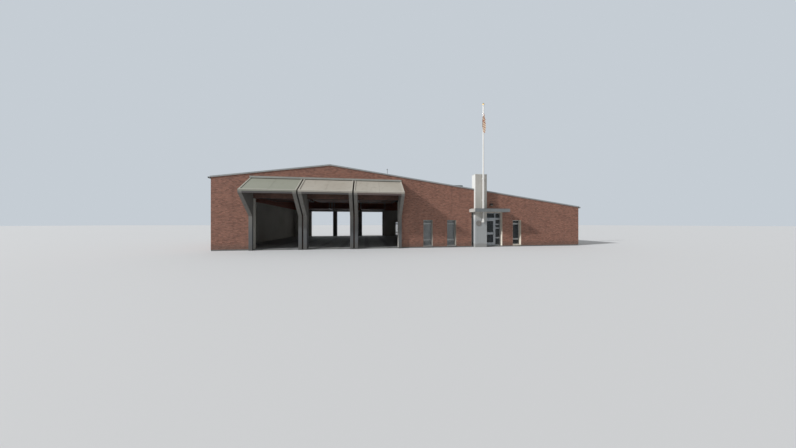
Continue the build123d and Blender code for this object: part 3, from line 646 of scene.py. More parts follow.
def lay_wall(name, along, outward, reach, half_width, head, gaps, rows_on_end):
    """One wall's brickwork: running bond, and soldiers in the places (left, right, bottom)."""
    gaps = gaps + [(left, right, low, low + soldier_height) for left, right, low in rows_on_end]
    top = head(np.linspace(-half_width, half_width, 99)).max()
    bricks = running_bond(-half_width, half_width, top, gaps)
    bricks = np.concatenate([bricks] + [soldiers(*row) for row in rows_on_end])
    left, right, bottom, top = bricks.T
    bricks = bricks[bottom < np.maximum(head(left), head(right)) - thinnest_cut]
    left, right, bottom, top = bricks.T
    top_left, top_right = (np.maximum(np.minimum(top, head(end)), bottom + thinnest_cut)
                           for end in (left, right))
    across = np.stack([left, right, right, left], axis=1)[:, :, None] * np.array(along)
    height = np.stack([bottom, bottom, top_right, top_left], axis=1)
    face = across + height[:, :, None] * [0, 0, 1] + np.array(outward) * reach
    shape = blocks(face + np.array(outward) * brick_stand, face, back=False)
    piece = add_piece(name, shape, "fired_brick")
    tone = np.clip(tones.normal(tone_middle, tone_spread, len(bricks)), 0, 1)
    tone[tones.random(len(bricks)) < burnt_share] = burnt_tone
    faces_of_brick = len(shape[1]) // len(bricks)
    attribute = piece.data.attributes.new("brick_tone", "FLOAT", "FACE")
    attribute.data.foreach_set("value", np.repeat(tone, faces_of_brick).astype(np.float32))


def window_gaps(along, outward):
    """Gaps and soldier places for the windows of the wall that faces outward."""
    gaps, rows_on_end = [], []
    face = rear_y if outward[1] else right_x
    for low, high in frames_of_windows:
        if np.dot((low + high)[:2] / 2, outward[:2]) < face - deepest_window:
            continue
        left, right = sorted(np.array([low, high])[:, :2] @ np.array(along[:2]))
        gaps.append((left, right, slab_top, high[2]))
        rows_on_end.append((left - course, right + course, high[2]))
    return gaps, rows_on_end


bay_soldier_foot = slab_top + round((bay_head - slab_top) / course) * course

front_along, front_outward = (1, 0, 0), (0, -1, 0)
gaps, rows_on_end = window_gaps(front_along, front_outward)
gaps += [(left, right, slab_top, bay_head) for left, right in bays]
rows_on_end += [(left, right, bay_soldier_foot) for left, right in bays]
gaps += [(low[0], high[0], 0, high[2]) for low, high in fins]
flashing_low, flashing_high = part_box("hood_flashing")
gaps.append((flashing_low.x, flashing_high.x, fins[0, 1, 2], flashing_high.z))
for node in ("entry_pylon", "entry_canopy", "wall_light", "entry_frame"):
    low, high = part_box(node)
    gaps.append((low.x, high.x, slab_top if node == "entry_frame" else low.z, high.z))
lay_wall("front_brickwork", front_along, front_outward, -front_y, right_x,
         wall_head, gaps, rows_on_end)

rear_along, rear_outward = (-1, 0, 0), (0, 1, 0)
gaps, rows_on_end = window_gaps(rear_along, rear_outward)
gaps += [(-right, -left, slab_top, bay_head) for left, right in bays]
rows_on_end += [(-right - course, -left + course, bay_soldier_foot) for left, right in bays]
lay_wall("rear_brickwork", rear_along, rear_outward, rear_y, right_x,
         lambda s: wall_head(-s), gaps, rows_on_end)

for name, side in (("left_brickwork", -1), ("right_brickwork", 1)):
    along, outward = (0, side, 0), (side, 0, 0)
    side_head = float(wall_head(right_x * side))
    lay_wall(name, along, outward, right_x, rear_y + brick_stand,
             lambda s: np.full(np.shape(s), side_head), *window_gaps(along, outward))

# %% [markdown]
# Paint fades and gets streaked, whatever its colour, so most other finishes come from one recipe:
# a base colour, a faded one in patches, and a stain that runs down in streaks. The plain ones
# stand in a table. A few surfaces show two colours on one solid, and choose by place: the sills
# beside the bays are greyed by painted shade, and the canopy's left face is lighter, a painted
# highlight of light from the left.

# %% Painted and metal finishes
def weathered(name, base, faded, stain, roughness, metallic=0.0, patch_size=1.6, grain=0.3,
              stain_share=0.35, streak_width=0.14):
    """A surface that fades in patches and is stained by running water."""
    finish = Finish(name, base, roughness, metallic)
    effects = use_group(finish.tree, weather, patch_size=patch_size, streak_width=streak_width)
    finish.repaint(effects["Patches"] * 0.8, faded)
    finish.repaint(effects["Streaks"] * stain_share, stain)
    finish.feed(roughness=spread(effects["Patches"], roughness - 0.06, roughness + 0.08))
    finish.bump(effects["Grain"], grain, 0.001)
    return finish


plain_finishes = {
    "roof_edge_paint": ((140, 143, 144), (152, 155, 155), (104, 103, 99), 0.45),
    "galvanised": ((150, 153, 155), (172, 174, 176), (118, 112, 102), 0.42, 0.75, 0.12),
    "grey_flashing": ((142, 144, 138), (154, 155, 149), (112, 110, 102), 0.45),
    "reveal_lining": ((206, 198, 184), (218, 212, 200), (170, 160, 144), 0.6, 0.0, 0.8),
    "entrance_aluminium": ((146, 150, 153), (162, 165, 167), (96, 95, 92), 0.36, 0.6, 0.5),
    "brushed_steel": ((168, 168, 166), (186, 186, 184), (130, 126, 120), 0.3, 0.9, 0.1),
    "satin_plate": ((128, 124, 120), (146, 142, 137), (98, 90, 82), 0.38, 0.5, 0.2),
    "roof_unit_sheet": ((94, 100, 102), (110, 116, 117), (78, 72, 64), 0.5, 0.0, 0.7),
    "dark_bronze": ((52, 48, 45), (66, 61, 57), (40, 37, 34), 0.4, 0.5, 0.1),
    "dark_strut_paint": ((60, 58, 56), (72, 70, 67), (46, 43, 40), 0.5, 0.0, 0.4),
    "blind_slats": ((236, 234, 228), (240, 238, 232), (214, 211, 202), 0.55, 0.0, 0.5, 0.1),
    "soffit_boards": ((184, 180, 170), (198, 195, 187), (150, 143, 130), 0.6, 0.0, 0.8),
}
for name, settings in plain_finishes.items():
    weathered(name, *settings)

stone = weathered("cast_stone", (186, 178, 164), (204, 197, 184), (136, 126, 112), 0.8,
                  patch_size=0.5, grain=0.6)
# The sills beside the bays are darkened to a blue grey: painted shade.
stone.repaint(use_group(stone.tree, painted_light_and_shade)["Beside Bays"] * 0.85, (104, 105, 106))

canopy = weathered("canopy_sheet", (110, 114, 115), (124, 127, 128), (86, 86, 84), 0.45)
# The canopy's left end face is lightened: a painted highlight of light from the left.
lit_end_face = place_of(canopy.tree)[1] < canopy_low.x + skin
canopy.repaint(lit_end_face * 0.9, (170, 169, 164))
print(len(plain_finishes), "plain finishes, sills and canopy ready")

# %% [markdown]
# The raised vehicle doors show their inner face, which looks down. Sectional doors are pressed with
# shallow horizontal ribs, so ribs cross the red-brown paint. The hoods are sheeted in a smooth
# board, joined in the middle of each hood. Their rim is a lighter trim that stands 35 mm above the
# sheet, so height above the sloping sheet tells the two apart. The first hood is greener and darker
# than the others. The fins are a dark grey that grows darker and bluer below head height, and the
# pylon greyer below the canopy: both are painted shade. The pylon's left face is lighter, a painted
# highlight of light from the left, as on the canopy's.

# %% Doors, hoods, fins and pylon
door = weathered("door_paint", (118, 60, 48), (134, 76, 62), (84, 50, 42), 0.48, patch_size=1.2)
ribs = use_group(door.tree, lines, spacing=0.1, width=0.02)["Across Y"]
door.repaint(ribs * 0.45, (78, 42, 35))

hood_run = hoods[0, 1, 1] - hoods[0, 0, 1]
hood_slope = 1.18 / 1.75
hood_rise = hood_slope * hood_run
hood_slant = float(np.hypot(hood_rise, hood_run))
hood_middles = hoods[:, :, 0].mean(axis=1)
rim_depth = 0.018
hood = weathered("hood_sheeting", (160, 154, 143), (168, 163, 153), (130, 123, 110), 0.55,
                 patch_size=2.4, streak_width=0.3)
_, x, y, z = place_of(hood.tree)
rim = hoods_high.z - (hoods_high.y - y) * hood_slope - z < rim_depth
seam = lowest(*(abs(x - middle) for middle in hood_middles)) < 0.006
greener = x < hoods[0, 1, 0]
hood.repaint(greener * 0.7, (124, 130, 116))
hood.repaint(seam * 0.6, (86, 82, 75))
hood.repaint(rim * 0.5, (180, 176, 166))

# The lip beams' dark reddish brown is painted shade, where they stand under the hoods' lips; the
# first two are greyer.
lip = weathered("lip_beam_paint", (82, 69, 66), (92, 79, 75), (62, 53, 50), 0.55)
first_two = place_of(lip.tree)[1] < hoods[1, 1, 0]
lip.repaint(first_two * 0.8, (70, 69, 68))

# The fins' base grey is kept dark, partly as painted shade.
fin = weathered("fin_render", (106, 104, 100), (120, 118, 113), (80, 76, 70), 0.7,
                stain_share=0.5, grain=0.5)
# Painted shade: darker and bluer towards the bottom.
lower_shade = 1.0 - rise(place_of(fin.tree)[3], 1.0, 3.0)
fin.repaint(lower_shade * 0.75, (76, 80, 84))
fin.repaint(use_group(fin.tree, ground_dirt, reach=0.6)["Dirt"] * 0.4, (84, 79, 72))

pylon = weathered("pylon_sheet", (178, 175, 168), (191, 189, 183), (142, 136, 126), 0.42,
                  stain_share=0.45, streak_width=0.1)
_, x, _, z = place_of(pylon.tree)
# The pylon's left face is lightened: a painted highlight of light from the left.
lit_side_face = x < pylon_low.x + skin
pylon.repaint(lit_side_face * 0.8, (206, 207, 205))
# Painted shade: the pylon is greyer below the canopy.
lower_shade = 1.0 - rise(z, canopy_low.z - 1.0, canopy_low.z)
pylon.repaint(lower_shade * 0.8, (144, 149, 152))
pylon.repaint(use_group(pylon.tree, ground_dirt, reach=0.4)["Dirt"] * 0.4, (112, 106, 98))
print("two-colour finishes ready")

# %% [markdown]
# Each roof slope is one solid: pale sheet on top and a bare steel deck below, which the bays let
# the eye see. Height above the underside separates them. The floor is broom-finished concrete with
# saw cuts and two dark tyre tracks in each bay. Window frames and the linings of their reveals are
# one solid too, and distance from the wall's face tells them apart.

# %% Roof, floor and window metal
roof = weathered("roof_sheet", (160, 162, 159), (170, 172, 168), (136, 132, 124), 0.42,
                 stain_share=0.2, patch_size=3.5, streak_width=0.4)
_, x, _, z = place_of(roof.tree)
under = z + abs(x - ridge_x) * roof_fall - wall_peak < (roof_high - wall_peak) / 2
deck_ribs = use_group(roof.tree, lines, spacing=0.15, width=0.06)["Across Y"]
roof.repaint(under, tint(deck_ribs, (96, 94, 90), (70, 68, 65)))

concrete = weathered("broomed_concrete", (134, 136, 136), (150, 151, 149), (112, 110, 105), 0.75,
                     stain_share=0.2, grain=0.6)
x = place_of(concrete.tree)[1]
half_gauge, track_core, track_edge = 1.0, 0.12, 0.34
from_tracks = lowest(*(abs(abs(x - middle) - half_gauge) for middle in hood_middles))
tracks = 1.0 - rise(from_tracks, track_core, track_edge)
concrete.repaint(tracks * 0.45, (84, 84, 84))
cuts = use_group(concrete.tree, lines, spacing=3.3, width=0.012)
concrete.repaint(highest(cuts["Across X"], cuts["Across Y"]) * 0.6, (70, 69, 67))

frame_setback = 0.299
window_metallic = 0.3
window = weathered("window_aluminium", (150, 152, 151), (166, 168, 166), (120, 118, 113), 0.4,
                   window_metallic, patch_size=0.5)
_, x, y, _ = place_of(window.tree)
lining = highest(abs(y) - (rear_y - frame_setback), x - (right_x - frame_setback)) > 0.0
# The linings beside the bays are darkened: painted shade.
lining_shade = use_group(window.tree, painted_light_and_shade)["Beside Bays"]
window.repaint(lining, tint(lining_shade, (206, 198, 184), (136, 132, 124)))
window.feed(metallic=(1.0 - lining) * window_metallic)
print("roof, floor and window finishes ready")

# %% [markdown]
# Glass is dark and tinted. It is drawn as a clear film rather than as a refracting slab, because
# a flat pane bends nothing that shows: Alpha lets a good part of the view through, and Fresnel
# makes the pane more of a mirror towards its edges. The panes beside the bays are paler: painted
# light, which stands in for the light on the blinds behind them.
# The pole is white enamel with a gilt ball. The flag's stripes follow its own flat coordinates.

# %% Glass, pole and cloth
flag_height, flag_length = 0.914, 1.524
flag_stripes = 9

glass = Finish("tinted_glass", (80, 88, 94), 0.04)
effects = use_group(glass.tree, weather, patch_size=0.6, streak_width=0.05)
# The panes beside the bays are lightened: painted light for the blinds behind them.
glass.repaint(use_group(glass.tree, painted_light_and_shade)["Beside Bays"], (142, 151, 158))
mirror = add_node(glass.tree, "Fresnel")[0]
film = mirror * 1.4 + 0.2 + effects["Streaks"] * 0.06
glass.feed(roughness=spread(effects["Patches"], 0.02, 0.09), alpha=lowest(film, 1.0))

pole_low, pole_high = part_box("flagpole")
ball_foot = pole_high.z - 0.17
enamel = weathered("white_enamel", (202, 201, 197), (210, 209, 206), (170, 163, 152), 0.3,
                   patch_size=0.8, streak_width=0.03, grain=0.1)
gilt = place_of(enamel.tree)[3] > ball_foot
enamel.repaint(gilt, (184, 156, 100))
enamel.feed(metallic=gilt)

cloth = Finish("flag_cloth", (0.7, 0.6, 0.5, 1.0), 0.85)
flat_place = add_node(cloth.tree, "UVMap", uv_map="cloth")[0]
down_flag = add_node(cloth.tree, "SeparateXYZ", {0: flat_place})[1]
cloth.paint = tint(down_flag * flag_stripes % 2.0 < 0.8, (222, 213, 192), (146, 54, 46))
fading = cloud(stretched(flat_place, (2.0, 2.0, 0.0)), 2.0)
cloth.repaint(fading * 0.35, (204, 172, 130))
threads = stretched(flat_place, (flag_length, flag_height, 0.0))
weave = add_node(cloth.tree, "TexWave", {"Vector": threads, "Scale": 160.0},
                 bands_direction="DIAGONAL")[0]
cloth.bump(weave, 0.3, 0.0008)
cloth.feed(sheen_weight=0.25)

lens_glass = Finish("frosted_lens", (214, 212, 200), 0.35)
frost = cloud(place_of(lens_glass.tree)[0], 60.0)
lens_glass.feed(roughness=spread(frost, 0.3, 0.5))
print("glass, pole and cloth ready")

# %% [markdown]
# Every solid of the frame now gets its finish.

# %% Finish the frame
finishes = {
    "mortar_and_painted_block": [node for node in nodes if "_wall" in node],
    "broomed_concrete": ["floor_slab"],
    "roof_sheet": ["roof_left", "roof_right"],
    "roof_edge_paint": ["roof_trim", "gutters", "downpipes", "ridge_cap"],
    "hood_sheeting": ["hood_panels"],
    "fin_render": ["bay_fins", "bay_piers"],
    "lip_beam_paint": ["hood_lip_beams"],
    "grey_flashing": ["hood_flashing"],
    "door_paint": ["bay_doors"],
    "galvanised": ["door_tracks", "roof_vent"],
    "window_aluminium": ["window_frames"],
    "tinted_glass": ["window_glass", "entry_glass", "entry_door_glass"],
    "cast_stone": ["window_sills"],
    "blind_slats": ["window_blinds"],
    "pylon_sheet": ["entry_pylon"],
    "satin_plate": ["pylon_disc"],
    "entrance_aluminium": ["entry_frame", "entry_door"],
    "brushed_steel": ["entry_door_hinges", "entry_frame_hinges", "entry_door_pull", "flag_clips"],
    "canopy_sheet": ["entry_canopy"],
    "white_enamel": ["flagpole", "flagpole_brackets"],
    "flag_cloth": ["flag"],
    "roof_unit_sheet": ["roof_unit"],
    "dark_bronze": ["wall_light"],
}
for material, finished in finishes.items():
    for node in finished:
        nodes[node].data.materials.clear()
        nodes[node].data.materials.append(Finish.made[material])
bare = set(nodes) - {node for finished in finishes.values() for node in finished}
print("nodes without a finish:", bare or "none")

# %% [markdown]
# The edges of the rear openings are guarded by steel angles, because vehicles pass close by. Each
# side has one leg on the wall's face and one in the reveal, and a plate closes the head.

# %% Steel guards of the rear openings
guard_leg = 0.06
guard_thickness = 0.006
guard_stand, guard_sink = 0.012, 0.001
guard_back, guard_front = rear_y - guard_leg, rear_y + guard_stand
guards = []
for left, right in bays:
    for face_x, reveal_x in ((left - guard_leg, left), (right, right - guard_thickness)):
        guards += [boxes([face_x, rear_y - guard_sink, slab_top],
                         [face_x + guard_leg, guard_front, bay_head]),
                   boxes([reveal_x, guard_back, slab_top],
                         [reveal_x + guard_thickness, guard_front, bay_head])]
    guards.append(boxes([left, guard_back, bay_head - guard_thickness],
                        [right, guard_front, bay_head]))
add_piece("rear_guards", joined(guards), "galvanised")

# %% [markdown]
# A standing-seam roof is made of long trays, whose edges are folded together into upright seams
# every 450 mm. They run down the slope from the ridge cap to the eave, and stop at whatever comes
# through the roof: the pylon, the roof unit and the vent pipe, each with a little room for its
# flashing.

# %% Roof seams
seam_spacing = 0.45
seam_half_width = 0.012
seam_height = 0.036
seam_room = 0.05
through_roof = [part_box(node) for node in ("entry_pylon", "roof_unit", "roof_vent")]
slopes = [(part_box("roof_left")[0].x + seam_room, cap_low.x),
          (cap_high.x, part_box("roof_right")[1].x - seam_room)]
seams = []
for y in np.arange(-rear_y + seam_spacing / 2, rear_y, seam_spacing):
    gaps = [(low.x - seam_room, high.x + seam_room) for low, high in through_roof
            if low.y - seam_room < y < high.y + seam_room]
    for slope in slopes:
        seams += [(y, *stretch) for stretch in free_stretches(*slope, gaps)]
seam_y, seam_start, seam_end = np.array(seams).T
add_piece("roof_seams",
          bars(places(seam_start, seam_y, roof_top(seam_start)),
               places(seam_end, seam_y, roof_top(seam_end)),
               (0, seam_half_width, 0), (0, 0, seam_height)),
          "roof_sheet")

# %% [markdown]
# Where the unit and the vent pipe come through the sheet, a curb or a collar keeps the rain out.
# The unit has louvres on its sides, tilted blades behind a border, and on top a raised band of
# sheet round two fan guards. They are generic: such a unit is a plain sheet box with louvres,
# whoever makes it.

# %% Roof unit and vent
def border(low, high, run, width, rise_axis=2):
    """Corners of a rectangular frame of four boxes that fills the edge of a box.

    The frame lies in the plane of axis number run and rise_axis: two full stiles at the ends of
    the first, and two rails between them.
    """
    lows, highs = np.tile(np.array(low, float), (4, 1)), np.tile(np.array(high, float), (4, 1))
    highs[0, run] = lows[0, run] + width
    lows[1, run] = highs[1, run] - width
    lows[2:, run] += width
    highs[2:, run] -= width
    highs[2, rise_axis] = lows[2, rise_axis] + width
    lows[3, rise_axis] = highs[3, rise_axis] - width
    return lows, highs


def slats(low, high, run, pitch, width, thickness, tilt):
    """Tilted blades across a box: they run along axis number run and are pitch apart in height."""
    depth = 1 - run
    levels = np.arange(low[2] + pitch / 2, high[2], pitch)
    starts = np.empty((len(levels), 3))
    starts[:, run], starts[:, 2] = low[run], levels
    starts[:, depth] = (low[depth] + high[depth]) / 2
    ends = starts.copy()
    ends[:, run] = high[run]
    side, up = np.zeros(3), np.zeros(3)
    side[depth], side[2] = width / 2 * np.cos(tilt), width / 2 * np.sin(tilt)
    up[depth], up[2] = -thickness * np.sin(tilt), thickness * np.cos(tilt)
    return bars(starts, ends, side, up)


unit_low, unit_high = np.array(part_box("roof_unit"))
lid_lap, lid_height = 0.04, 0.06
louvre_stand, louvre_margin, louvre_border, louvre_lift = 0.02, 0.1, 0.04, 0.06
blade_inset, blade_pitch, blade_width, blade_thickness, blade_tilt = 0.03, 0.05, 0.042, 0.003, 0.7
body_low, body_high = unit_low + [lid_lap, lid_lap, 0], unit_high - [lid_lap, lid_lap, lid_height]
louvre_foot = roof_top(body_low[0]) + louvre_lift
shapes = []
for run, outer in ((0, -1), (0, 1), (1, -1), (1, 1)):
    depth = 1 - run
    low, high = body_low.copy(), body_high.copy()
    face = body_low[depth] if outer < 0 else body_high[depth]
    low[depth], high[depth] = sorted((face, face + outer * louvre_stand))
    low[run] += louvre_margin
    high[run] -= louvre_margin
    low[2], high[2] = louvre_foot, body_high[2] - louvre_border
    shapes += [boxes(*border(low, high, run, louvre_border)),
               slats(low + blade_inset, high - blade_inset, run, blade_pitch, blade_width,
                     blade_thickness, -outer * blade_tilt)]

upstand_height, upstand_width = 0.16, 0.03
band_low = [unit_low[0], unit_low[1], unit_high[2]]
band_high = unit_high + [0, 0, upstand_height]
shapes.append(boxes(*border(band_low, band_high, 0, upstand_width, rise_axis=1)))

fan_places = np.array([0.26, 0.74])
shroud_radius, shroud_height = 0.46, 0.15
ring_radii = (0.06, 0.14, 0.22, 0.30, 0.38)
guard_foot, wire, wire_height = shroud_height - 0.028, 0.006, 0.012
spoke_gap, spoke_height = 0.01, 0.01
shroud = [(shroud_radius + 0.03, 0), (shroud_radius + 0.03, 0.01), (shroud_radius, 0.03),
          (shroud_radius, shroud_height), (shroud_radius - 0.02, shroud_height),
          (shroud_radius - 0.02, 0.04), (0, 0.04)]
for x in unit_low[0] + (unit_high[0] - unit_low[0]) * fan_places:
    fan_middle = np.array([x, (unit_low[1] + unit_high[1]) / 2, unit_high[2]])
    shapes.append(turned(shroud, fan_middle, count=40))
    for radius in ring_radii:
        ring = [(radius - wire, guard_foot), (radius - wire, guard_foot + wire_height),
                (radius + wire, guard_foot + wire_height), (radius + wire, guard_foot)]
        shapes.append(turned(ring + ring[:1], fan_middle))
    level = fan_middle + [0, 0, guard_foot - spoke_height]
    for along, across in np.array([([1, 0, 0], [0, 1, 0]), ([0, 1, 0], [1, 0, 0])]):
        spoke = along * (shroud_radius - spoke_gap)
        shapes.append(bars(level - spoke, level + spoke, across * wire, (0, 0, spoke_height)))
add_piece("roof_unit_louvres", joined(shapes), "roof_unit_sheet")

vent_low, vent_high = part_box("roof_vent")
vent_x, vent_y, _ = (vent_low + vent_high) / 2
collar = [(0.30, -0.04), (0.30, 0.012), (0.165, 0.03), (0.155, 0.16), (0.165, 0.165),
          (0.165, 0.185), (0.14, 0.19)]
add_piece("vent_collar", turned(collar, (vent_x, vent_y, roof_top(vent_x))),
          "galvanised")

# %% [markdown]
# Hood sheeting is fixed with round-headed screws along its rim. Each screw is a short eight-sided
# stud, and all of them are worked out at once from their places and the direction that they face.
# A drip edge runs along each lip, and a cover strip hides the joint in the middle of each hood.

# %% Hood screws and edges
def studs(feet, facing, radius, height, sides=8):
    """Short prisms that stand on a surface at each foot: a head, and sides without a back."""
    feet = np.atleast_2d(feet)[:, None, :]
    ring, lift = feet + radius * circle(facing, sides), height * np.array(facing)
    points = np.concatenate([ring, ring + lift, feet + lift], axis=1).reshape(-1, 3)
    around = [(i, (i + 1) % sides, (i + 1) % sides + sides, i + sides) for i in range(sides)]
    head = [(2 * sides, i + sides, i + 1 + sides, (i + 2) % sides + sides)
            for i in range(0, sides, 2)]
    return points, repeated(np.array(around + head), len(feet), 2 * sides + 1)


screw_spacing = 0.28
screw_radius, screw_height = 0.014, 0.007
rim_middle = 0.05
field_depth = 0.035
strip_half_width, strip_thickness, strip_end = 0.03, 0.006, 0.1
drip_depth, drip_height = 0.012, 0.03
down_slope = np.array([0, -hood_run, -hood_rise]) / hood_slant
hood_facing = np.array([0, -hood_rise, hood_run]) / hood_slant
screw_feet, hood_strips = [], []
for low, high in hoods:
    top_edge = np.array([0, high[1], high[2]])
    down = np.arange(rim_middle, hood_slant, screw_spacing)[:, None] * down_slope
    for x in (low[0] + rim_middle, high[0] - rim_middle):
        screw_feet.append(top_edge + [x, 0, 0] + down)
    across = np.arange(low[0] + rim_middle, high[0], screw_spacing)
    lip_row = top_edge + (hood_slant - rim_middle) * down_slope
    screw_feet.append(places(across, lip_row[1], lip_row[2]))
    field_top = top_edge + [(low[0] + high[0]) / 2, 0, 0] - field_depth * hood_facing
    hood_strips.append(bars(field_top, field_top + (hood_slant - strip_end) * down_slope,
                            (strip_half_width, 0, 0), strip_thickness * hood_facing))
    _, lip_y, lip_z = top_edge + hood_slant * down_slope
    hood_strips.append(boxes([low[0], lip_y - drip_depth, lip_z - drip_height],
                             [high[0], lip_y, lip_z]))
add_piece("hood_screws",
          studs(np.concatenate(screw_feet), hood_facing, screw_radius, screw_height),
          "galvanised")
add_piece("hood_edges", joined(hood_strips), "hood_sheeting")

# %% [markdown]
# A sectional door is stiffened on its inner face by steel struts across each joint, stiles along
# its length, and a hinge at every crossing. All of it hangs below the raised door, where somebody
# who walks in would see it. The doors of front and rear are alike.

# %% Door hardware
door_sections = 5
strut_half_width, strut_height, strut_inset = 0.035, 0.03, 0.04
end_strut_inset = 0.06
stile_places = np.array([0.03, 0.27, 0.5, 0.73, 0.97])
stile_half_width, stile_thickness, stile_inset = 0.03, 0.006, 0.02
hinge_half_length, hinge_half_width, hinge_thickness = 0.045, 0.07, 0.008
hardware = []
for low, high in solids_of("bay_doors"):
    strut_foot = low[2] - strut_height
    stations = low[1] + (high[1] - low[1]) * np.arange(door_sections + 1) / door_sections
    stations[[0, -1]] += [end_strut_inset, -end_strut_inset]
    hardware.append(boxes(places(low[0] + strut_inset, stations - strut_half_width, strut_foot),
                          places(high[0] - strut_inset, stations + strut_half_width, low[2])))
    for x in low[0] + (high[0] - low[0]) * stile_places:
        hinges = places(x, stations[1:-1], strut_foot)
        half_hinge = np.array([hinge_half_length, hinge_half_width, 0])
        hardware += [boxes([x - stile_half_width, low[1] + stile_inset, low[2] - stile_thickness],
                           [x + stile_half_width, high[1] - stile_inset, low[2]]),
                     boxes(hinges - half_hinge - [0, 0, hinge_thickness], hinges + half_hinge)]
add_piece("door_hardware", joined(hardware), "dark_strut_paint")

# %% [markdown]
# Panes are held by glazing beads, slim bars that run round each pane on its outer side. The pane
# reaches 10 mm into the frame, and the bead starts at the pane's edge, so its inner part shows.
# The beads of the door ride on its leaf, and swing with it.

# %% Glazing beads
bead_width = 0.024
bead_depth = 0.014


def beads(node):
    """Glazing beads on the outer side of each pane of a node."""
    shapes = []
    for low, high in solids_of(node):
        depth = int(np.argmin((high - low)[:2]))
        outer = low[depth] if (low + high)[depth] < 0 else high[depth]
        low[depth], high[depth] = sorted((outer, outer + np.sign(outer) * bead_depth))
        shapes.append(boxes(*border(low, high, 1 - depth, bead_width)))
    return joined(shapes)


add_piece("window_beads", beads("window_glass"), "window_aluminium")
add_piece("entry_beads", beads("entry_glass"), "entrance_aluminium")
add_piece("door_beads", beads("entry_door_glass"), "entrance_aluminium",
          "entrance_leaf")

# %% [markdown]
# Two windows have slatted blinds drawn behind them. In the frame each blind is one flat sheet. Here
# it becomes what it is: some fifty tilted slats between a head rail and a foot rail, held by two
# ladder tapes. These pieces take the place of the sheets.

# %% Blinds
blind_pitch = 0.042
blind_tilt = np.radians(58)
slat_width, slat_thickness = 0.048, 0.002
slat_inset, slats_foot, slats_head = 0.012, 0.04, 0.05
head_rail, head_setback = 0.04, 0.004
foot_rail, foot_inset = 0.022, 0.01
tape_place, tape_half_width, tape_foot = 0.18, 0.012, 0.02
tape_front, tape_back = 0.002, 0.003
shapes = []
for low, high in solids_of("window_blinds"):
    shapes += [slats(low + [slat_inset, 0, slats_foot], high - [slat_inset, 0, slats_head], 0,
                     blind_pitch, slat_width, slat_thickness, blind_tilt),
               boxes([low[0], low[1] + head_setback, high[2] - head_rail], high),
               boxes(low + [foot_inset, foot_inset, 0],
                     [high[0] - foot_inset, high[1] - foot_inset, low[2] + foot_rail])]
    for x in (low[0] + tape_place, high[0] - tape_place):
        shapes.append(boxes([x - tape_half_width, low[1] + tape_front, low[2] + tape_foot],
                            [x + tape_half_width, low[1] + tape_back, high[2] - head_rail]))
blinds = add_piece("blind_slats", joined(shapes), "blind_slats")
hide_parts("window_blinds")

# %% [markdown]
# Around the entrance, the reveal is lined with a pale board, and a flat threshold lies under the
# door. The pylon gets a folded cap, which throws rain clear of its face, and a row of ribs above
# the canopy. On its face the round plate stays blank, with two raised rings and a ring of screws.

# %% Entrance linings, pylon and plate
frame_low, frame_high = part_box("entry_frame")
lining = 0.015
head_z, under_head = frame_high.z, frame_high.z - lining
linings = [boxes([left, front_y + lining, foot], [right, frame_low.y, top])
           for left, right, foot, top in (
               (frame_high.x - lining, frame_high.x, slab_top, under_head),
               (pylon_high.x, frame_high.x, under_head, head_z),
               (frame_low.x, frame_low.x + lining, slab_top, under_head),
               (frame_low.x, pylon_low.x, under_head, head_z))]
add_piece("entrance_linings", joined(linings), "reveal_lining")
leaf_low, leaf_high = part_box("entry_door")
threshold_lap, threshold_thickness = 0.05, 0.004
add_piece("threshold",
          boxes([pylon_high.x, leaf_low.y - threshold_lap, slab_top],
                [leaf_high.x + threshold_lap, frame_high.y, slab_top + threshold_thickness]),
          "entrance_aluminium")

cap_stand, cap_height, cap_skirt = 0.012, 0.025, 0.05
left, right = pylon_low.x - cap_stand, pylon_high.x + cap_stand
front = pylon_low.y - cap_stand
cap = [boxes([left, front, pylon_high.z],
             [right, pylon_high.y + cap_stand, pylon_high.z + cap_height]),
       boxes([left, front, pylon_high.z - cap_skirt],
             [right, front + cap_stand / 2, pylon_high.z])]
add_piece("pylon_cap", joined(cap), "pylon_sheet")

rib_spacing, rib_half_width, rib_height = 0.076, 0.009, 0.012
rib_foot, rib_head = canopy_high.z + 0.06, pylon_high.z - 0.08
first_rib, rib_limit = pylon_low.x + 0.07, pylon_high.x - 0.04
rib_x = np.arange(first_rib, rib_limit, rib_spacing)
add_piece("pylon_ribs", bars(places(rib_x, pylon_low.y, rib_foot),
                             places(rib_x, pylon_low.y, rib_head),
                             (rib_half_width, 0, 0), (0, -rib_height, 0)),
          "pylon_sheet")

plate_low, plate_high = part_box("pylon_disc")
plate_radius = (plate_high.x - plate_low.x) / 2
plate_middle = np.array((plate_low + plate_high) / 2)
plate_middle[1] = plate_low.y
outwards = (0, -1, 0)
ring_height, screw_circle, plate_screws = 0.006, 0.21, 8
rim_ring, inner_ring = (plate_radius - 0.012, 0.01), (0.165, 0.007)
rings = [turned([(radius - half, 0), (radius - half, ring_height), (radius + half, ring_height),
                 (radius + half, 0)], plate_middle, outwards, 48)
         for radius, half in (rim_ring, inner_ring)]
around = 2 * np.pi * np.arange(plate_screws) / plate_screws
screw_ring = plate_middle + screw_circle * places(np.cos(around), 0, np.sin(around))
rings.append(studs(screw_ring, outwards, radius=0.008, height=0.005))
add_piece("plate_rings", joined(rings), "satin_plate")

# %% [markdown]
# The canopy is a flat box of folded sheet. Cover strips hide the joints of its fascia, a drip edge
# stands out along the top, and narrow boards close its underside.

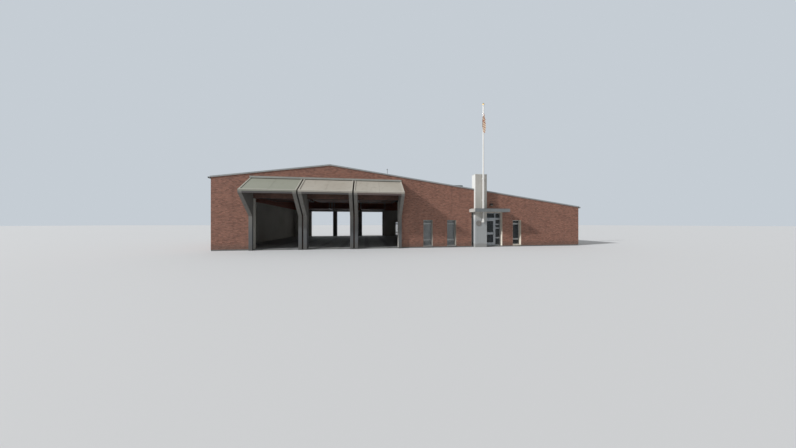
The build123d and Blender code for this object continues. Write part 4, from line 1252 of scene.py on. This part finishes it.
# %% Canopy
drip_stand, drip_foot, drip_top = 0.01, canopy_high.z - 0.022, canopy_high.z + 0.003
left, right, front = canopy_low.x, canopy_high.x, canopy_low.y
edges = [boxes([left - drip_stand, front - drip_stand, drip_foot],
               [right + drip_stand, front, drip_top]),
         boxes([left - drip_stand, front, drip_foot], [left, front_y, drip_top]),
         boxes([right, front, drip_foot], [right + drip_stand, front_y, drip_top])]
cover_half_width, cover_thickness = 0.02, 0.005
cover_x = np.linspace(left, right, 4)[1:-1]
edges.append(boxes(places(cover_x - cover_half_width, front - cover_thickness, canopy_low.z),
                   places(cover_x + cover_half_width, front, drip_foot)))
add_piece("canopy_edges", joined(edges), "canopy_sheet")

fascia, board_width, board_thickness, half_gap = 0.05, 0.1, 0.008, 0.004
soffit_z = canopy_low.z + 0.04
board_y = np.arange(front + fascia, front_y - board_width / 2, board_width)
board_end = np.minimum(board_y + board_width - half_gap, front_y)
add_piece("canopy_soffit",
          boxes(places(left + fascia, board_y + half_gap, soffit_z - board_thickness),
                places(right - fascia, board_end, soffit_z)),
          "soffit_boards")

# %% [markdown]
# The pole is round and tapers to its ball. In the frame it has 24 flat sides. A smoother one,
# turned from the same profile, takes its place. It carries a truck below its ball, where a halyard
# would run, a collar at each bracket, and a hook on each clip for the flag. The small lamp over
# the entrance gets a back plate and a frosted lens below.

# %% Pole fittings and wall lamp
pole_x, pole_y = (pole_low.x + pole_high.x) / 2, (pole_low.y + pole_high.y) / 2
foot_radius, neck_radius, ball_radius = 0.08, 0.055, (pole_high.x - pole_low.x) / 2
ball_middle = pole_high.z - ball_radius * np.sin(np.radians(80))
latitudes = np.linspace(-np.arccos(neck_radius / ball_radius), np.pi / 2, 16)
ball_heights = np.minimum(ball_middle + ball_radius * np.sin(latitudes), pole_high.z)
profile = [(0, pole_low.z), (foot_radius, pole_low.z),
           *zip(np.abs(ball_radius * np.cos(latitudes)), ball_heights)]
pole = add_piece("pole", turned(profile, (pole_x, pole_y, 0), count=48), "white_enamel",
                 merge=True, smooth=True)
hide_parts("flagpole")

truck_foot, collar_height = ball_foot - 0.06, 0.02
truck = [(0.05, 0), (0.072, 0.006), (0.072, 0.04), (0.05, 0.05)]
collar = [(0.07, 0), (0.088, 0.003), (0.088, 0.017), (0.07, collar_height)]
fittings = [turned(truck, (pole_x, pole_y, truck_foot))]
for low, high in solids_of("flagpole_brackets"):
    for z in (low[2] - collar_height, high[2]):
        if z > pole_low.z:
            fittings.append(turned(collar, (pole_x, pole_y, z)))
add_piece("pole_fittings", joined(fittings), "white_enamel")

hook_left, hook_right = pole_x - 0.045, pole_x - 0.025
hook_front, hook_back, hook_half_height = 0.018, 0.012, 0.006
hooks = []
for low, high in solids_of("flag_clips"):
    level = (low[2] + high[2]) / 2
    hooks.append(boxes([hook_left, low[1] - hook_front, level - hook_half_height],
                       [hook_right, low[1] + hook_back, level + hook_half_height]))
add_piece("flag_hooks", joined(hooks), "brushed_steel")

light_low, light_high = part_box("wall_light")
plate_margin, plate_thickness = 0.03, 0.012
lens_inset, lens_depth = 0.02, 0.015
add_piece("wall_light_plate",
          boxes([light_low.x - plate_margin, front_y - plate_thickness,
                 light_low.z - plate_margin],
                [light_high.x + plate_margin, front_y, light_high.z + plate_margin]),
          "dark_bronze")
add_piece("wall_light_lens",
          boxes([light_low.x + lens_inset, light_low.y + lens_inset, light_low.z - lens_depth],
                [light_high.x - lens_inset, light_high.y - lens_inset, light_low.z]),
          "frosted_lens")

# %% [markdown]
# Gutters hang from straps across their mouth every 900 mm, and downpipes are held to the wall by
# bands. Splice plates cover the joints of the roof edge trim, which comes in 3 m lengths.

# %% Gutter straps, bands and splices
strap_spacing = 0.9
strap_half_width, strap_thickness, first_strap = 0.015, 0.003, 0.3
band_levels = (0.9, 2.4, 3.4)
band_reach, band_half_length, band_height = 0.125, 0.056, 0.03
straps = []
for low, high in solids_of("gutters"):
    y = np.arange(low[1] + first_strap, high[1], strap_spacing)
    straps.append(boxes(places(low[0], y - strap_half_width, high[2]),
                        places(high[0], y + strap_half_width, high[2] + strap_thickness)))
for low, high in solids_of("downpipes"):
    side = np.sign(low[0] + high[0])
    near_x, far_x = sorted((side * right_x, side * (right_x + band_reach)))
    pipe_y = (low[1] + high[1]) / 2
    for z in band_levels:
        straps.append(boxes([near_x, pipe_y - band_half_length, z],
                            [far_x, pipe_y + band_half_length, z + band_height]))
add_piece("gutter_straps", joined(straps), "roof_edge_paint")

splice_spacing, splice_half_width, splice_thickness = 3.0, 0.025, 0.006
splice_foot, splice_head = 0.004, 0.018
first_splice = -15.0
trim_reach = 0.06
pylon_room = 0.1
splices = []
for x in np.arange(first_splice, right_x, splice_spacing):
    if pylon_low.x - pylon_room < x < pylon_high.x + pylon_room:
        continue
    for y in (-rear_y - trim_reach - splice_thickness, rear_y + trim_reach):
        splices.append(boxes(
            [x - splice_half_width, y, wall_head(x) + splice_foot],
            [x + splice_half_width, y + splice_thickness, roof_top(x) + splice_head]))
add_piece("trim_splices", joined(splices), "roof_edge_paint")

# %% [markdown]
# The flag hangs limp in front of the pole on a still day. It is a sheet of 0.914 by 1.524 m, a
# common size for a small pole. Its hoist edge is clipped to the pole, and the rest falls from the
# upper clip, so that its far corner ends 1.9 m under the top. In plan it sweeps from side to
# side, each sweep a little further forward than the last. Upright pleats run through all the
# sweeps at the same places, so that the layers nest and never cut through each other. The quads
# run so that the frontmost sweep faces the street.

# %% Flag
flag_low, flag_high = np.array(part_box("flag"))
rows, columns = 100, 220
sweeps = 4.5
pleats, pleat_height = 3.5, 0.012
clip_gather, clip_stretch = 0.45, 0.6
tail_loss, tail_drop, tail_stretch = 0.42, 1.25, 0.6
hoist_x, flag_top = pole_x - 0.03, flag_high[2] - 0.02
fall = flag_top - flag_low[2] - flag_height
reach = (flag_high[0] - flag_low[0]) / 2 - 0.03
back, front = flag_high[1] - 0.002 - pleat_height, flag_low[1] + 0.008 + pleat_height


def hang(u, v):
    """Points of the hanging sheet. From 0 to 1, u runs along it from the hoist, and v down it.

    Drop, the distance below the top, is the flag's height times v, plus the fall times u to the
    power 0.9. Gather is the share of the full reach that the folds have there. It is clip_gather
    at the top, becomes 1 over clip_stretch, and loses tail_loss over tail_stretch, from tail_drop
    on. Fold counts the sweeps along the sheet, and leans a little with v. Sway is a rounded zigzag
    of it between the sides, -1 and 1, and wavers with the drop. A pleat is a sine of sway, which
    also turns a little with the drop. Depth goes evenly from back to front, plus the pleat.
    """
    drop = flag_height * v + fall * u ** 0.9
    gather = clip_gather + (1 - clip_gather) * np.clip(drop / clip_stretch, 0, 1) ** 1.1
    gather = gather * (1 - tail_loss * np.clip((drop - tail_drop) / tail_stretch, 0, 1) ** 1.5)
    fold = sweeps * u + 0.10 * np.sin(2.6 * v + 1.2) * u
    sway = 2 / np.pi * np.arcsin(0.97 * np.sin(np.pi * fold)) + 0.05 * np.sin(5 * drop) * u
    pleat = pleat_height * gather * np.sin(np.pi * pleats * sway + 1.6 * drop)
    depth = back + (front - back) * (0.04 + 0.96 * u) + pleat
    return places(hoist_x + reach * gather * sway, depth, flag_top - drop)


v, u = np.meshgrid(np.linspace(0, 1, rows), np.linspace(0, 1, columns), indexing="ij")
quads = grid_quads(rows, columns)[:, [0, 3, 2, 1]]
flag = add_piece("flag_cloth", (hang(u, v).reshape(-1, 3), quads), "flag_cloth",
                 smooth=True)
cloth_uv = flag.data.uv_layers.new(name="cloth")
flat = np.stack([u, v], axis=2).reshape(-1, 2)[quads.ravel()]
cloth_uv.data.foreach_set("uv", flat.astype(np.float32).ravel())
areas = np.zeros(len(flag.data.polygons))
flag.data.polygons.foreach_get("area", areas)
print(f"cloth of {areas.sum():.2f} square metres, flat {flag_height * flag_length:.2f}")
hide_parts("flag")

# %% [markdown]
# Colours are shown as they are written.

# %% Finish
scene.view_settings.view_transform = "Standard"
